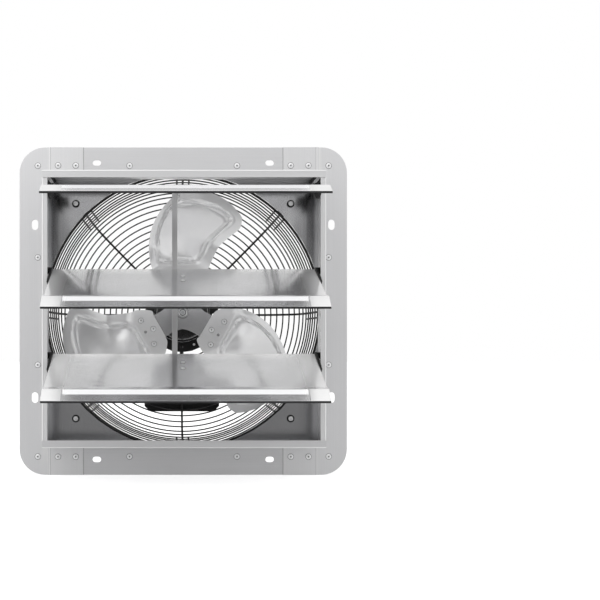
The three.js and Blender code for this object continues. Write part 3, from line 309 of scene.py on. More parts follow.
def block(name, low, high):
    """A box between two corners."""
    deselect()
    size = [b - a for a, b in zip(low, high)]
    middle = [(a + b) / 2 for a, b in zip(low, high)]
    bpy.ops.mesh.primitive_cube_add(size=1, location=middle, scale=size)
    return named(name)


def bar(name, axis, radius, start, end, at, sides=24):
    """A round or six-sided bar along Y or Z; at gives its two other coordinates."""
    deselect()
    middle = (start + end) / 2
    place, turn = ((at[0], middle, at[1]), (math.pi / 2, 0, 0)) if axis == "y" else ((*at, middle), (0, 0, 0))
    bpy.ops.mesh.primitive_cylinder_add(vertices=sides, radius=radius, depth=end - start,
                                        location=place, rotation=turn)
    return named(name)


def turned(name, profile, sides=48, closed=False):
    """A piece turned about the fan's axis, extruded ring by ring through its (radius, y) steps."""
    deselect()
    (radius, place), *steps = profile
    fill = "NOTHING" if closed else "NGON"
    bpy.ops.mesh.primitive_circle_add(vertices=sides, radius=radius, fill_type=fill,
                                      location=(0, place, 0), rotation=(math.pi / 2, 0, 0))
    piece = named(name)
    with editing(piece):
        for next_radius, next_place in steps:
            bpy.ops.mesh.extrude_region_move(TRANSFORM_OT_translate={"value": (0, next_place - place, 0)})
            share = next_radius / radius
            bpy.ops.transform.resize(value=(share, 1, share), center_override=(0, next_place, 0))
            radius, place = next_radius, next_place
        bpy.ops.mesh.select_all(action="SELECT")
        bpy.ops.mesh.remove_doubles(threshold=SAME_POINT)
        bpy.ops.mesh.normals_make_consistent(inside=False)
    return piece


def choose(piece, kind, wanted):
    """In edit mode, selects the edges or faces that pass a test."""
    bpy.ops.mesh.select_mode(type=kind)
    bpy.ops.mesh.select_all(action="DESELECT")
    shape = bmesh.from_edit_mesh(piece.data)
    for part in shape.edges if kind == "EDGE" else shape.faces:
        part.select_set(wanted(part))
    bmesh.update_edit_mesh(piece.data)


def ends_at(edge, **place):
    """Whether both ends of an edge have the given coordinates."""
    return all(abs(getattr(vertex.co, axis) - value) < SAME_PLACE
               for vertex in edge.verts for axis, value in place.items())


def apply(piece, kind, **settings):
    """Adds a modifier with its settings and applies it."""
    take(piece)
    modifier = piece.modifiers.new(kind.lower(), kind)
    for setting, value in settings.items():
        setattr(modifier, setting, value)
    bpy.ops.object.modifier_apply(modifier=modifier.name)
    return piece


def round_edges(piece, width=EDGE_ROUNDING, segments=2, angle=30):
    return apply(piece, "BEVEL", width=width, segments=segments, limit_method="ANGLE",
                 angle_limit=math.radians(angle), harden_normals=False)


def cut_away(piece, cutter):
    """Cuts a tool out of a piece and deletes the tool."""
    apply(piece, "BOOLEAN", operation="DIFFERENCE", solver="EXACT", object=cutter)
    bpy.data.objects.remove(cutter)


def fused(name, pieces):
    """Joins several pieces into one object."""
    deselect()
    for piece in pieces:
        piece.select_set(True)
    bpy.context.view_layer.objects.active = pieces[0]
    bpy.ops.object.join()
    pieces[0].name = pieces[0].data.name = name
    return pieces[0]


def copy_of(piece, name, place):
    """A copy with its own mesh, moved by a matrix."""
    twin = added(name, piece.data.copy())
    twin.data.name = name
    twin.data.transform(place)
    return twin


def merged_copy(source):
    """A copy of a CAD node's solid with its triangles joined into whole faces."""
    piece = added(source + "_finished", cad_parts[source].data.copy())
    piece.data.materials.clear()
    with editing(piece):
        bpy.ops.mesh.remove_doubles(threshold=CAD_SAME_POINT)
        bpy.ops.mesh.dissolve_limited(angle_limit=math.radians(CAD_SAME_ANGLE))
    return piece


def coat(piece, finishes, which=lambda face: 0):
    """Gives a piece its materials, and each face the one whose number a rule names."""
    for finish in finishes:
        piece.data.materials.append(finish)
    for face in piece.data.polygons:
        face.material_index = which(face)
    return piece


def from_axis(face):
    """How far a face's middle is from the fan's axis."""
    return math.hypot(face.center.x, face.center.z)


def settle(piece, body, slot, *nodes, angle=35):
    """Gives a finished piece its body, hides the CAD nodes that it stands for, and gives it smooth shading
    below an angle, with the large faces kept flat beside their rounded edges. The slot is not used."""
    take(piece)
    bpy.ops.object.shade_smooth_by_angle(angle=math.radians(angle))
    apply(piece, "WEIGHTED_NORMAL", weight=100, keep_sharp=True)
    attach(piece, body)
    if nodes:
        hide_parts(*nodes)


def softened(source, finish, slot, body="frame", width=EDGE_ROUNDING, segments=2, angle=40):
    """A CAD node's solid with its edges rounded."""
    piece = round_edges(merged_copy(source), width, segments, angle)
    settle(coat(piece, [finish]), body, slot, source)


def ease(start, end, value):
    share = max(0.0, min(1.0, (value - start) / (end - start)))
    return share * share * (3 - 2 * share)


# Surface effects

def effect(name, inputs, outputs):
    """A node group with its sockets, and the sockets of its two ends."""
    group = bpy.data.node_groups.new(name, "ShaderNodeTree")
    for in_out, sockets in (("INPUT", inputs), ("OUTPUT", outputs)):
        for socket, kind in sockets.items():
            group.interface.new_socket(socket, in_out=in_out, socket_type="NodeSocket" + kind)
    return group, group.nodes.new("NodeGroupInput").outputs, group.nodes.new("NodeGroupOutput").inputs


def node(tree, kind, links=(), **settings):
    """A shader node with its settings, and its inputs linked or set by name."""
    made = tree.nodes.new("ShaderNode" + kind)
    for setting, value in settings.items():
        setattr(made, setting, value)
    for socket, value in dict(links).items():
        if isinstance(value, bpy.types.NodeSocket):
            tree.links.new(value, made.inputs[socket])
        else:
            made.inputs[socket].default_value = value
    return made.outputs


def product(tree, first, second):
    return node(tree, "Math", {0: first, 1: second}, operation="MULTIPLY")[0]


def spread(tree, value, start=0.0, end=1.0, low=0.0, high=1.0, **settings):
    """Spreads one range of a value over another and stops at its ends."""
    return node(tree, "MapRange", {"Value": value, "From Min": start, "From Max": end, "To Min": low,
                                   "To Max": high}, **settings)["Result"]


def mixed(tree, share, under, over):
    """One colour over another by a share."""
    return node(tree, "Mix", {"Factor": share, 6: under, 7: over}, data_type="RGBA")[2]


def cloud(tree, place, scale, detail, roughness=0.5):
    return node(tree, "TexNoise", {"Vector": place, "Scale": scale, "Detail": detail,
                                   "Roughness": roughness})["Fac"]


def object_place(tree):
    return node(tree, "TexCoord")["Object"]


def along(tree, axis, vector):
    return node(tree, "SeparateXYZ", {"Vector": vector})[axis]


def from_middle(tree, axis):
    """The distance from the fan's middle along an axis, to both sides alike."""
    return node(tree, "Math", {0: along(tree, axis, object_place(tree))}, operation="ABSOLUTE")[0]


def rolled_sheet():
    """Fine rolling lines along one direction and soft clouds over the sheet."""
    group, given, out = effect(
        "rolled_sheet",
        {"Line Scale": "Vector", "Cloud Scale": "Float", "Light": "Color", "Dark": "Color", "Smooth": "Float",
         "Rough": "Float"},
        {"Color": "Color", "Roughness": "Float", "Height": "Float"})
    place = object_place(group)
    stretched = node(group, "Mapping", {"Vector": place, "Scale": given["Line Scale"]})["Vector"]
    lines = cloud(group, stretched, *LINE_CLOUD)
    clouds = cloud(group, place, given["Cloud Scale"], CLOUD_DETAIL)
    both = node(group, "Math", {0: lines, 1: clouds}, operation="ADD")[0]
    share = spread(group, both, *SHEET_CONTRAST)
    group.links.new(mixed(group, share, given["Dark"], given["Light"]), out["Color"])
    group.links.new(spread(group, both, *SHEET_CONTRAST, given["Smooth"], given["Rough"]), out["Roughness"])
    group.links.new(lines, out["Height"])
    return group


def worn_edges():
    """A mask that is white along outer edges and dark in corners."""
    group, given, out = effect("worn_edges", {"Start": "Float", "End": "Float"}, {"Mask": "Float"})
    point = node(group, "NewGeometry")["Pointiness"]
    group.links.new(spread(group, point, given["Start"], given["End"]), out["Mask"])
    return group


def settled_dust():
    """Soft patches that lie more on faces that look up."""
    group, given, out = effect("settled_dust", {"Amount": "Float"}, {"Mask": "Float"})
    up = along(group, "Z", node(group, "NewGeometry")["Normal"])
    lying = spread(group, up, *DUST_TILT, low=DUST_ON_WALLS)
    patches = spread(group, cloud(group, object_place(group), *DUST_CLOUD), *DUST_CONTRAST)
    group.links.new(product(group, product(group, lying, patches), given["Amount"]), out["Mask"])
    return group


def fold_line():
    """A thin band on both sides of the fan, at a distance from its middle and above or below the box."""
    group, given, out = effect("fold_line", {"Place": "Float", "Half Width": "Float", "Beyond": "Float"},
                               {"Mask": "Float"})
    on_line = node(group, "Math", {0: from_middle(group, "X"), 1: given["Place"], 2: given["Half Width"]},
                   operation="COMPARE")[0]
    outside = node(group, "Math", {0: from_middle(group, "Z"), 1: given["Beyond"]},
                   operation="GREATER_THAN")[0]
    group.links.new(product(group, on_line, outside), out["Mask"])
    return group


ROLLED_SHEET, WORN_EDGES, SETTLED_DUST, FOLD_LINE = rolled_sheet(), worn_edges(), settled_dust(), fold_line()


def placed(tree, group, **values):
    """An effect placed in a material with its own values."""
    made = tree.nodes.new("ShaderNodeGroup")
    made.node_tree = group
    for socket, value in values.items():
        made.inputs[socket.replace("_", " ").title()].default_value = value
    return made.outputs


def new_material(name):
    made = bpy.data.materials.new(name)
    made.use_nodes = True
    return made, made.node_tree, made.node_tree.nodes["Principled BSDF"].inputs


def grey(value, blue=0.01):
    """A grey with a trace of blue."""
    return value, value, value + blue


def dress(tree, shader, colour, rough, height, bump, edge, worn, dust):
    """Joins a surface's colour, roughness and bump to its shader, with worn edges and dust."""
    amount, dust_colour = dust
    edged = mixed(tree, placed(tree, WORN_EDGES, start=worn[0], end=worn[1])["Mask"], colour, (*edge, 1))
    dusted = mixed(tree, placed(tree, SETTLED_DUST, amount=amount)["Mask"], edged, (*dust_colour, 1))
    tree.links.new(dusted, shader["Base Color"])
    tree.links.new(rough, shader["Roughness"])
    bumped = node(tree, "Bump", {"Height": height, "Strength": bump, "Distance": BUMP_DEPTH})["Normal"]
    tree.links.new(bumped, shader["Normal"])


def bare_metal(name, light, dark, line_scale, cloud_scale, roughness, edge, bump=0.03, metallic=1.0):
    """Rolled or pressed metal sheet with brighter edges and a little dust."""
    made, tree, shader = new_material(name)
    sheet = placed(tree, ROLLED_SHEET, line_scale=line_scale, cloud_scale=cloud_scale, light=(*light, 1),
                   dark=(*dark, 1), smooth=roughness[0], rough=roughness[1])
    dress(tree, shader, sheet["Color"], sheet["Roughness"], sheet["Height"], bump, edge, METAL_WORN,
          METAL_DUST)
    shader["Metallic"].default_value = metallic
    return made


def black_coat_and_shade(name, colour, roughness, grain_scale, bump, shine):
    """Black paint or plastic, and the dark colours painted as shade: fine grain, greyer edges, a little dust.
    """
    made, tree, shader = new_material(name)
    grain = cloud(tree, object_place(tree), grain_scale, GRAIN_DETAIL)
    dress(tree, shader, (*colour, 1), spread(tree, grain, *GRAIN_CONTRAST, *roughness), grain, bump,
          COAT_EDGE, COAT_WORN, COAT_DUST)
    shader["Specular IOR Level"].default_value = shine
    return made


def tinted(made, share, colour):
    """Puts a colour over a finished material's own, by a share, and returns its tree and shader."""
    tree = made.node_tree
    shader = tree.nodes["Principled BSDF"].inputs
    base = shader["Base Color"]
    tree.links.new(mixed(tree, share, base.links[0].from_socket, (*colour, 1)), base)
    return tree, shader


def shade_and_highlight_line(made, place, colour, strength):
    """Paints a thin line along a fold or seam of the flange into a finished metal: a dark colour is painted
    shade, a light one a painted highlight.
    """
    tree = made.node_tree
    line = placed(tree, FOLD_LINE, place=place, half_width=LINE_HALF_WIDTH, beyond=BOX_HALF_Z)["Mask"]
    tinted(made, product(tree, line, strength), colour)


def lighter_ends(made, start, end, metallic):
    """Makes a metal lighter and duller towards both ends of a louvre, between two shares of its plain end."""
    start, end = [LOUVRE_WIDTH / 2 - LOUVRE_PLAIN_END * share for share in (start, end)]
    share = spread(made.node_tree, from_middle(made.node_tree, "X"), start, end,
                   interpolation_type="SMOOTHSTEP")
    tree, shader = tinted(made, share, PLAIN_END_COLOUR)
    tree.links.new(spread(tree, share, low=1.0, high=metallic), shader["Metallic"])


frame_steel = bare_metal("frame_steel", grey(0.76), grey(0.71), (4, 500, 500), 2.0, (0.36, 0.42),
                         grey(0.84, 0), metallic=0.75)
wall_steel = bare_metal("wall_steel", grey(0.80), grey(0.75), (500, 500, 4), 2.0, (0.38, 0.44),
                        grey(0.84, 0), metallic=0.75)
plate_steel = bare_metal("plate_steel", grey(0.50), grey(0.42), (700, 700, 6), 5.0, (0.14, 0.22),
                         grey(0.62, 0))
louvre_aluminium = bare_metal("louvre_aluminium", grey(0.77), grey(0.70), (3, 700, 700), 4.0, (0.13, 0.19),
                              grey(0.85, 0))
# A darker copy of the louvre metal for its lip: the darker colour is painted shade, the higher roughness is
# real
shaded_louvre_lip = bare_metal("shaded_louvre_lip", grey(0.72), grey(0.64), (3, 700, 700), 4.0, (0.20, 0.28),
                        grey(0.85, 0))
bar_steel = bare_metal("bar_steel", grey(0.26), grey(0.20), (500, 500, 6), 8.0, (0.30, 0.42),
                       grey(0.60, 0), 0.04)
spider_steel = bare_metal("spider_steel", grey(0.46), grey(0.38), (300, 300, 300), 5.0, (0.18, 0.28),
                          grey(0.62, 0), metallic=0.8)
# A light sheet that paints the corner's highlight on the corner strip's fold
painted_highlight = bare_metal("painted_highlight", grey(0.95, 0), grey(0.90, 0), (300, 6, 300), 5.0, (0.25, 0.35),
                         grey(0.96, 0), metallic=0.2)
blade_aluminium = bare_metal("blade_aluminium", grey(0.95, 0), grey(0.89), (60, 60, 60), 12.0, (0.18, 0.25),
                             grey(0.97, 0), metallic=0.45)
zinc = bare_metal("zinc", (0.60, 0.61, 0.62), (0.48, 0.49, 0.50), (300, 300, 300), 60.0, (0.24, 0.36),
                  grey(0.75, 0), 0.05)
rivet_zinc = bare_metal("rivet_zinc", grey(0.90), grey(0.82), (300, 300, 300), 60.0, (0.3, 0.4),
                        grey(0.95, 0), 0.05, metallic=0.35)
core_steel = bare_metal("core_steel", grey(0.66, 0.02), grey(0.44, 0.02), (6, 1500, 6), 20.0, (0.28, 0.45),
                        grey(0.8, 0), 0.3)
copper = bare_metal("copper", (0.72, 0.36, 0.20), (0.48, 0.20, 0.10), (900, 900, 40), 30.0, (0.3, 0.45),
                    (0.8, 0.45, 0.3), 0.4)
# Painted shade along the tabs' free edges on the top and bottom members and along the fold at the tabs on the
# side members, with a painted highlight beside that fold
shade_and_highlight_line(frame_steel, BOX_HALF_X - SHEET - TAB_LENGTH - LINE_HALF_WIDTH, grey(0.10, 0), 0.35)
shade_and_highlight_line(wall_steel, TAB_FOLD_X, grey(0.12, 0), 0.25)
shade_and_highlight_line(wall_steel, TAB_FOLD_X + 2 * LINE_HALF_WIDTH, grey(0.97, 0), 0.7)
lighter_ends(louvre_aluminium, 2, 0, 0.45)
lighter_ends(shaded_louvre_lip, 1.6, 0.5, 0.35)
guard_coat = black_coat_and_shade("guard_coat", grey(0.004, 0), (0.35, 0.50), 900.0, 0.05, shine=0.25)
motor_enamel = black_coat_and_shade("motor_enamel", grey(0.004, 0), (0.22, 0.34), 500.0, 0.05, shine=0.45)
black_nylon = black_coat_and_shade("black_nylon", grey(0.004, 0), (0.42, 0.60), 700.0, 0.10, shine=0.2)
cable_sheath = black_coat_and_shade("cable_sheath", grey(0.006, 0), (0.45, 0.62), 400.0, 0.08, shine=0.3)
# Painted shade: near black under the louvres' hems, on the corner strips and in the rings of the hub's washer
# and bolt; dark grey in the rivets' hollows and round their seats
hem_shadow = black_coat_and_shade("hem_shadow", grey(0.03, 0.002), (0.5, 0.65), 400.0, 0.05, shine=0.2)
joint_shadow = black_coat_and_shade("joint_shadow", grey(0.22, 0), (0.6, 0.7), 400.0, 0.05, shine=0.2)


# Frame

def rimmed(piece):
    """A narrow rim round the wide faces of a sheet, so that the wear of its edges stays at the edges."""
    with editing(piece):
        choose(piece, "FACE", lambda face: face.calc_area() > WIDE_FACE)
        bpy.ops.mesh.inset(thickness=SHEET_RIM, depth=0)
    return piece


def frame_channel(name):
    """A folded side of the frame, with rounded bends from its wall to the flange and to the front lip."""
    piece = merged_copy(name)
    side = name.startswith("side")
    axis, wall, flange_bend = ("x", BOX_HALF_X, WALL_BEND) if side else ("z", BOX_HALF_Z, WALL_BEND / 4)
    front = min(vertex.co.y for vertex in piece.data.vertices)
    with editing(piece):
        for y, bend, segments in ((0, flange_bend, 6), (front, LIP_BEND, 4)):
            choose(piece, "EDGE", lambda edge: edge.calc_length() > BOX_DEPTH and any(
                ends_at(edge, y=y, **{axis: place}) for place in (-wall, wall)))
            bpy.ops.mesh.bevel(offset=bend, segments=segments, affect="EDGES")
    coat(rimmed(round_edges(piece)), [wall_steel if side else frame_steel])
    settle(piece, "frame", "frame_steel", name)


def corner_strip(side):
    """The strip that closes the seam of the side and top walls, coloured near black as painted shade, with a
    fold along its middle coloured light as a painted highlight.
    """
    front, rear = 3 * SHEET - BOX_DEPTH, -SHEET
    strip = block("corner_strip", (-CORNER_STRIP / 2, front, 0), (CORNER_STRIP / 2, rear, SHEET / 2))
    fold = block("corner_fold", (-CORNER_FOLD / 2, front, -SHEET / 2), (CORNER_FOLD / 2, rear, 0))
    for piece, finish in ((strip, hem_shadow), (fold, painted_highlight)):
        coat(round_edges(piece, SHEET / 8), [finish])
    strip = fused("corner_strip", [strip, fold])
    strip.data.transform(Matrix.Rotation(math.radians(45), 4, "Y"))
    strip.data.transform(Matrix.Translation((BOX_HALF_X - CORNER_DROP, 0, BOX_HALF_Z - CORNER_DROP)))
    if side < 0:
        strip.data.transform(Matrix.Scale(-1, 4, (1, 0, 0)))
        strip.data.flip_normals()
    settle(strip, "frame", "frame_steel")


def rivet_model():
    """A blind rivet's head that looks towards -Y: a low dome with a hollow middle, its seat on the origin."""
    profile = [(RIVET_R * share, -RIVET_RISE * rise) for share, rise in RIVET_PROFILE]
    head = turned("rivet_head", [*profile, (RIVET_R * RIVET_SEAT[0], RIVET_SEAT[1])], sides=24)
    hollow, seat = [RIVET_R * share for share in RIVET_BRIGHT_SHARES]
    # The hollow middle and a ring round the seat are painted dark grey as shade
    return coat(head, [rivet_zinc, joint_shadow], lambda face: int(not hollow <= from_axis(face) <= seat))


def flange_rivets(head):
    places = [(side * x, up * RIVET_LINE) for side in (-1, 1) for up in (-1, 1) for x in RIVET_PLACES]
    places += [(side * RIVET_LINE, up * RIVET_PLACES[-1]) for side in (-1, 1) for up in (-1, 1)]
    for number, (x, z) in enumerate(places, 1):
        on_tab = BOX_HALF_X > abs(x) > BOX_HALF_X - TAB_LENGTH and abs(z) > BOX_HALF_Z
        y = -SHEET - GAP if on_tab else 0
        rivet = copy_of(head, f"flange_rivet_{number}", Matrix.Translation((x, y, z)))
        settle(rivet, "frame", "zinc_fastener")


def plate_bolts():
    """Slotted round heads in front of the back plate, each with a dark collar, and their shanks."""
    for number in range(1, 5):
        low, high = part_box(f"plate_bolt_{number}")
        x, z = (low.x + high.x) / 2, (low.z + high.z) / 2
        profile = [(PLATE_BOLT_R * share, low.y + depth) for share, depth in PLATE_BOLT_PROFILE]
        shank = [(PLATE_SHANK_R, profile[-1][1]), (PLATE_SHANK_R, high.y)]
        head = turned(f"plate_bolt_{number}_finished", profile + shank, sides=24)
        bright = PLATE_BOLT_R * PLATE_BOLT_BRIGHT_SHARE
        coat(head, [rivet_zinc, black_nylon], lambda face: int(from_axis(face) > bright))
        head.data.transform(Matrix.Translation((x, 0, z)))
        length, depth, width = SLOT_SIZE
        cut_away(head, block("slot", (x - length / 2, low.y - depth, z - width / 2),
                             (x + length / 2, low.y + depth, z + width / 2)))
        settle(head, "frame", "zinc_fastener", f"plate_bolt_{number}")


for channel in ("side_channel_left", "side_channel_right", "top_channel", "bottom_channel"):
    frame_channel(channel)
plate = rimmed(round_edges(merged_copy("back_plate"), angle=40))
settle(coat(plate, [plate_steel]), "frame", "plate_steel", "back_plate")
for side in (-1, 1):
    corner_strip(side)
rivet_head = rivet_model()
flange_rivets(rivet_head)
plate_bolts()
for side in ("left", "right"):
    softened("bearing_strip_" + side, plate_steel, "plate_steel", angle=30)
    for number in (1, 2):
        softened(f"strip_screw_{side}_{number}", zinc, "zinc_fastener")


# Louvres

def louvre_place(pivot_z, rest):
    """From a louvre's own u and w, with X kept, to the frame."""
    return Matrix.Translation((0, PIVOT_Y, pivot_z)) @ Matrix.Rotation(math.radians(rest), 4, "X")


def louvre_model():
    """The folded sheet, drawn level at its pivot: u runs towards -Y and w towards +Z."""
    line = [(-LOUVRE_BACK, 0), (LOUVRE_FLAT, 0), LOUVRE_RIDGE, LOUVRE_FOOT, LOUVRE_FRONT,
            (LOUVRE_FRONT[0], LOUVRE_FRONT[1] - LOUVRE_HEM)]
    deselect()
    first, second = line[:2]
    bpy.ops.mesh.primitive_plane_add(size=1, location=(0, -(first[0] + second[0]) / 2, 0))
    sheet = bpy.context.active_object
    sheet.scale = (LOUVRE_WIDTH, second[0] - first[0], 1)
    sheet = named("louvre_sheet")
    with editing(sheet):
        for (u, w), (next_u, next_w) in zip(line[1:], line[2:]):
            choose(sheet, "EDGE", lambda edge: ends_at(edge, y=-u, z=w))
            bpy.ops.mesh.extrude_region_move(TRANSFORM_OT_translate={"value": (0, u - next_u, next_w - w)})
        choose(sheet, "EDGE", lambda edge: any(ends_at(edge, y=-u, z=w) for u, w in line[1:-1]))
        bpy.ops.mesh.bevel(offset=LOUVRE_BEND, segments=4, affect="EDGES")
        columns, rows = LOUVRE_GRID
        cuts = [(LOUVRE_WIDTH * (step / columns - 0.5), 0) for step in range(1, columns)]
        cuts += [(side * (LOUVRE_PLAIN_X + step), 0) for side in (-1, 1)
                 for step in (0, LOUVRE_BEND, 2 * LOUVRE_BEND)]
        cuts += [(0, -LOUVRE_FLAT * step / rows) for step in range(1, rows)]
        for x, y in cuts:
            bpy.ops.mesh.select_all(action="SELECT")
            bpy.ops.mesh.bisect(plane_co=(x, y, 0), plane_no=(0, 1, 0) if y else (1, 0, 0))
    return sheet


def louvre(name, model, pivot_z, rest, seed):
    """One louvre with the slight waves of a thin sheet, its rivets, ears and link bracket."""
    sheet = copy_of(model, f"louvre_{name}_finished", Matrix.Identity(4))
    for vertex in sheet.data.vertices:
        u = -vertex.co.y
        if LOUVRE_RIDGE[0] < u < LOUVRE_FRONT[0] - LOUVRE_BEND:
            share = (u - LOUVRE_RIDGE[0]) / (LOUVRE_FRONT[0] - LOUVRE_RIDGE[0])
            straight = LOUVRE_RIDGE[1] + (LOUVRE_FRONT[1] - LOUVRE_RIDGE[1]) * share
            plain = ease(LOUVRE_PLAIN_X, LOUVRE_PLAIN_X + 2 * LOUVRE_BEND, abs(vertex.co.x))
            vertex.co.z += (straight - vertex.co.z) * plain
        calm = max(0.0, min(1.0, u / LOUVRE_BACK, (LOUVRE_FLAT - u) / LOUVRE_BACK / 2))
        wave = noise.noise(Vector((vertex.co.x * LOUVRE_WAVES[0], vertex.co.y * LOUVRE_WAVES[1], seed)))
        vertex.co.z += wave * LOUVRE_WARP * calm
    apply(sheet, "SOLIDIFY", thickness=LOUVRE_SHEET, offset=0, use_even_offset=True)

    # The hem's front and lower faces are painted near black as shade under the lip, and the faces forward of
    # the ridge take the darker lip metal as painted shade
    def lip_or_hem(face):
        y, normal = face.center.y, face.normal
        forwards, down = LOUVRE_HEM_NORMALS
        hem = y < LOUVRE_BEND - LOUVRE_FRONT[0] and (normal.y < forwards or normal.z < down)
        return 1 if hem else 2 * int(y < LOUVRE_BEND - LOUVRE_RIDGE[0])
    coat(sheet, [louvre_aluminium, hem_shadow, shaded_louvre_lip], lip_or_hem)
    place = louvre_place(pivot_z, rest)
    sheet.data.transform(place)
    body = f"shutter_{name}_body"
    settle(sheet, body, "louvre_aluminium", f"louvre_{name}", angle=25)
    for number, u in enumerate(BRACKET_RIVETS, 1):
        seat = place @ Matrix.Translation((BRACKET_RIVET_X, -u, LOUVRE_SHEET / 2))
        upright = Matrix.Rotation(-math.pi / 2, 4, "X") @ Matrix.Scale(BRACKET_RIVET_SCALE, 4)
        rivet = copy_of(rivet_head, f"bracket_rivet_{name}_{number}", seat @ upright)
        settle(rivet, body, "zinc_fastener")
    for side in ("left", "right"):
        softened(f"louvre_ear_{side}_{name}", black_nylon, "black_nylon", body, MOULDED_ROUNDING)
    softened(f"link_bracket_{name}", zinc, "zinc_fastener", body, BRACKET_ROUNDING)


sheet_model = louvre_model()
for seed, (name, (pivot_z, rest)) in enumerate(PIVOTS.items()):
    louvre(name, sheet_model, pivot_z, rest, seed * LOUVRE_WAVE_STEP)
bpy.data.objects.remove(sheet_model)
softened("link_bar", bar_steel, "louvre_aluminium", "link_bar_body")


# Guard

def with_ends(points):
    """Points as vectors, with one more beyond each end to lead a curve."""
    points = [Vector(point) for point in points]
    return [2 * points[0] - points[1], *points, 2 * points[-1] - points[-2]]


def curve_point(p0, p1, p2, p3, share):
    """A share of the way from p1 to p2 on a centripetal curve through the four points."""
    t1 = math.sqrt((p1 - p0).length)
    t2 = t1 + math.sqrt((p2 - p1).length)
    t3 = t2 + math.sqrt((p3 - p2).length)
    t = t1 + (t2 - t1) * share
    a1, a2, a3 = p0.lerp(p1, t / t1), p1.lerp(p2, (t - t1) / (t2 - t1)), p2.lerp(p3, (t - t2) / (t3 - t2))
    return a1.lerp(a2, t / t2).lerp(a2.lerp(a3, (t - t1) / (t3 - t1)), (t - t1) / (t2 - t1))


def guard_curve():
    """The guard's outline from its base to its rear, as (y, radius) points."""
    points = with_ends((GUARD_FRONT_Y + depth * GUARD_DEPTH, radius * GUARD_R)
                       for depth, radius in GUARD_SHARES)
    curve = [curve_point(*four, step / GUARD_CURVE_STEPS)
             for four in zip(points, points[1:], points[2:], points[3:]) for step in range(GUARD_CURVE_STEPS)]
    return [*curve, points[-2]]


GUARD_CURVE = guard_curve()


def on_guard(axis, value):
    """The guard's (y, radius) where one of them has a value."""
    for here, there in zip(GUARD_CURVE, GUARD_CURVE[1:]):
        start, end = here[axis], there[axis]
        if min(start, end) <= value <= max(start, end) and start != end:
            return here.lerp(there, (value - start) / (end - start))
    return GUARD_CURVE[-1]


def wire_ring(place, radius, wire_r):
    deselect()
    along_ring, round_wire = RING_SIDES
    bpy.ops.mesh.primitive_torus_add(major_radius=radius, minor_radius=wire_r, major_segments=along_ring,
                                     minor_segments=round_wire, location=(0, place, 0),
                                     rotation=(math.pi / 2, 0, 0))
    return named("ring")


def wire(points, wire_r, sides=8):
    """A round wire through points, made a mesh."""
    path = bpy.data.curves.new("wire", "CURVE")
    path.dimensions = "3D"
    path.bevel_depth, path.bevel_resolution, path.use_fill_caps = wire_r, sides // 4, True
    spline = path.splines.new("POLY")
    spline.points.add(len(points) - 1)
    for point, place in zip(spline.points, points):
        point.co = (*place, 1)
    take(added("wire", path))
    bpy.ops.object.convert(target="MESH")
    return bpy.context.active_object


def guard_rings():
    rings = [wire_ring(GUARD_FRONT_Y, GUARD_R, BASE_WIRE_R)]
    for number in range(1, SIDE_RING_COUNT):
        rings.append(wire_ring(*on_guard(0, GUARD_FRONT_Y + number * SIDE_RING_PITCH), RING_WIRE_R))
    for number in range(REAR_RING_COUNT):
        rings.append(wire_ring(*on_guard(1, REAR_RING_FIRST_R - number * REAR_RING_PITCH), RING_WIRE_R))
    return fused("guard_rings", rings)


def guard_ribs():
    """Eight ribs over the rings, each with two short wires beside it on the side of the basket."""
    wires = []
    for number in range(RIB_COUNT):
        turn = Matrix.Rotation(math.radians(number * 360 / RIB_COUNT), 4, "Y")
        wires.append(wire([turn @ Vector((radius, y, 0)) for y, radius in GUARD_CURVE], RIB_WIRE_R))
        for side in (-1, 1):
            inner = [turn @ Vector((radius - RING_WIRE_R - RIB_WIRE_R, y - SIDE_WIRE_FORWARD,
                                    side * SIDE_WIRE_OFFSET))
                     for y, radius in GUARD_CURVE if y < SIDE_WIRE_END_Y]
            wires.append(wire(inner, SIDE_WIRE_R))
    return fused("guard_ribs", wires)


def guard_feet():
    """Flattened straps from the base ring to the plate bolts, with nuts."""
    width, thickness, outreach = GUARD_FOOT
    nut_r, nut_height = GUARD_NUT
    start, rear = GUARD_R - RIB_WIRE_R, GUARD_FOOT_Y + thickness
    low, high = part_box("plate_bolt_1")
    reach = math.hypot(low.x + high.x, low.z + high.z) / 2
    feet = []
    for number in range(4):
        turn = Matrix.Rotation(math.radians(45 + 90 * number), 4, "Y")
        foot = block("foot", (start, GUARD_FOOT_Y, -width / 2), (reach + outreach, rear, width / 2))
        round_edges(foot, thickness / 3)
        nut = bar("nut", "y", nut_r, rear, rear + nut_height, (reach, 0), sides=6)
        round_edges(nut, THICK_ROUNDING)
        strut = wire([(start, rear - thickness / 2, 0), (start, GUARD_FRONT_Y, 0)], RIB_WIRE_R)
        for made in (foot, nut, strut):
            made.data.transform(turn)
        feet += [foot, nut, strut]
    return fused("guard_feet", feet)


settle(coat(guard_rings(), [guard_coat]), "frame", "guard_paint", "rear_guard")
settle(coat(guard_ribs(), [guard_coat]), "frame", "guard_paint")
settle(coat(guard_feet(), [guard_coat]), "frame", "guard_paint")


# Motor

def span(name):
    """A CAD node's front and rear."""
    low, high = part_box(name)
    return low.y, high.y


def front_housing():
    front, rear = span("motor_front_housing")
    centre = [(radius, front + depth) for radius, depth in FRONT_CENTRE]
    rounding = [(FRONT_HOUSING_R - step, front + depth) for step, depth in FRONT_ROUNDING]
    step, depth = FRONT_CHAMFER
    chamfer = [(FRONT_HOUSING_R, rear - depth), (FRONT_HOUSING_R - step, rear)]
    inner_r, inner_front, bore = FRONT_HOUSING_R - FRONT_WALL, front + FRONT_INNER_DEPTH, centre[0]
    inside = [(inner_r, rear), (inner_r, inner_front), (bore[0], inner_front), bore]
    shell = turned("motor_front_housing_finished", centre + rounding + chamfer + inside, HOUSING_SIDES,
                   closed=True)
    settle(coat(shell, [motor_enamel]), "frame", "motor_paint", "motor_front_housing")


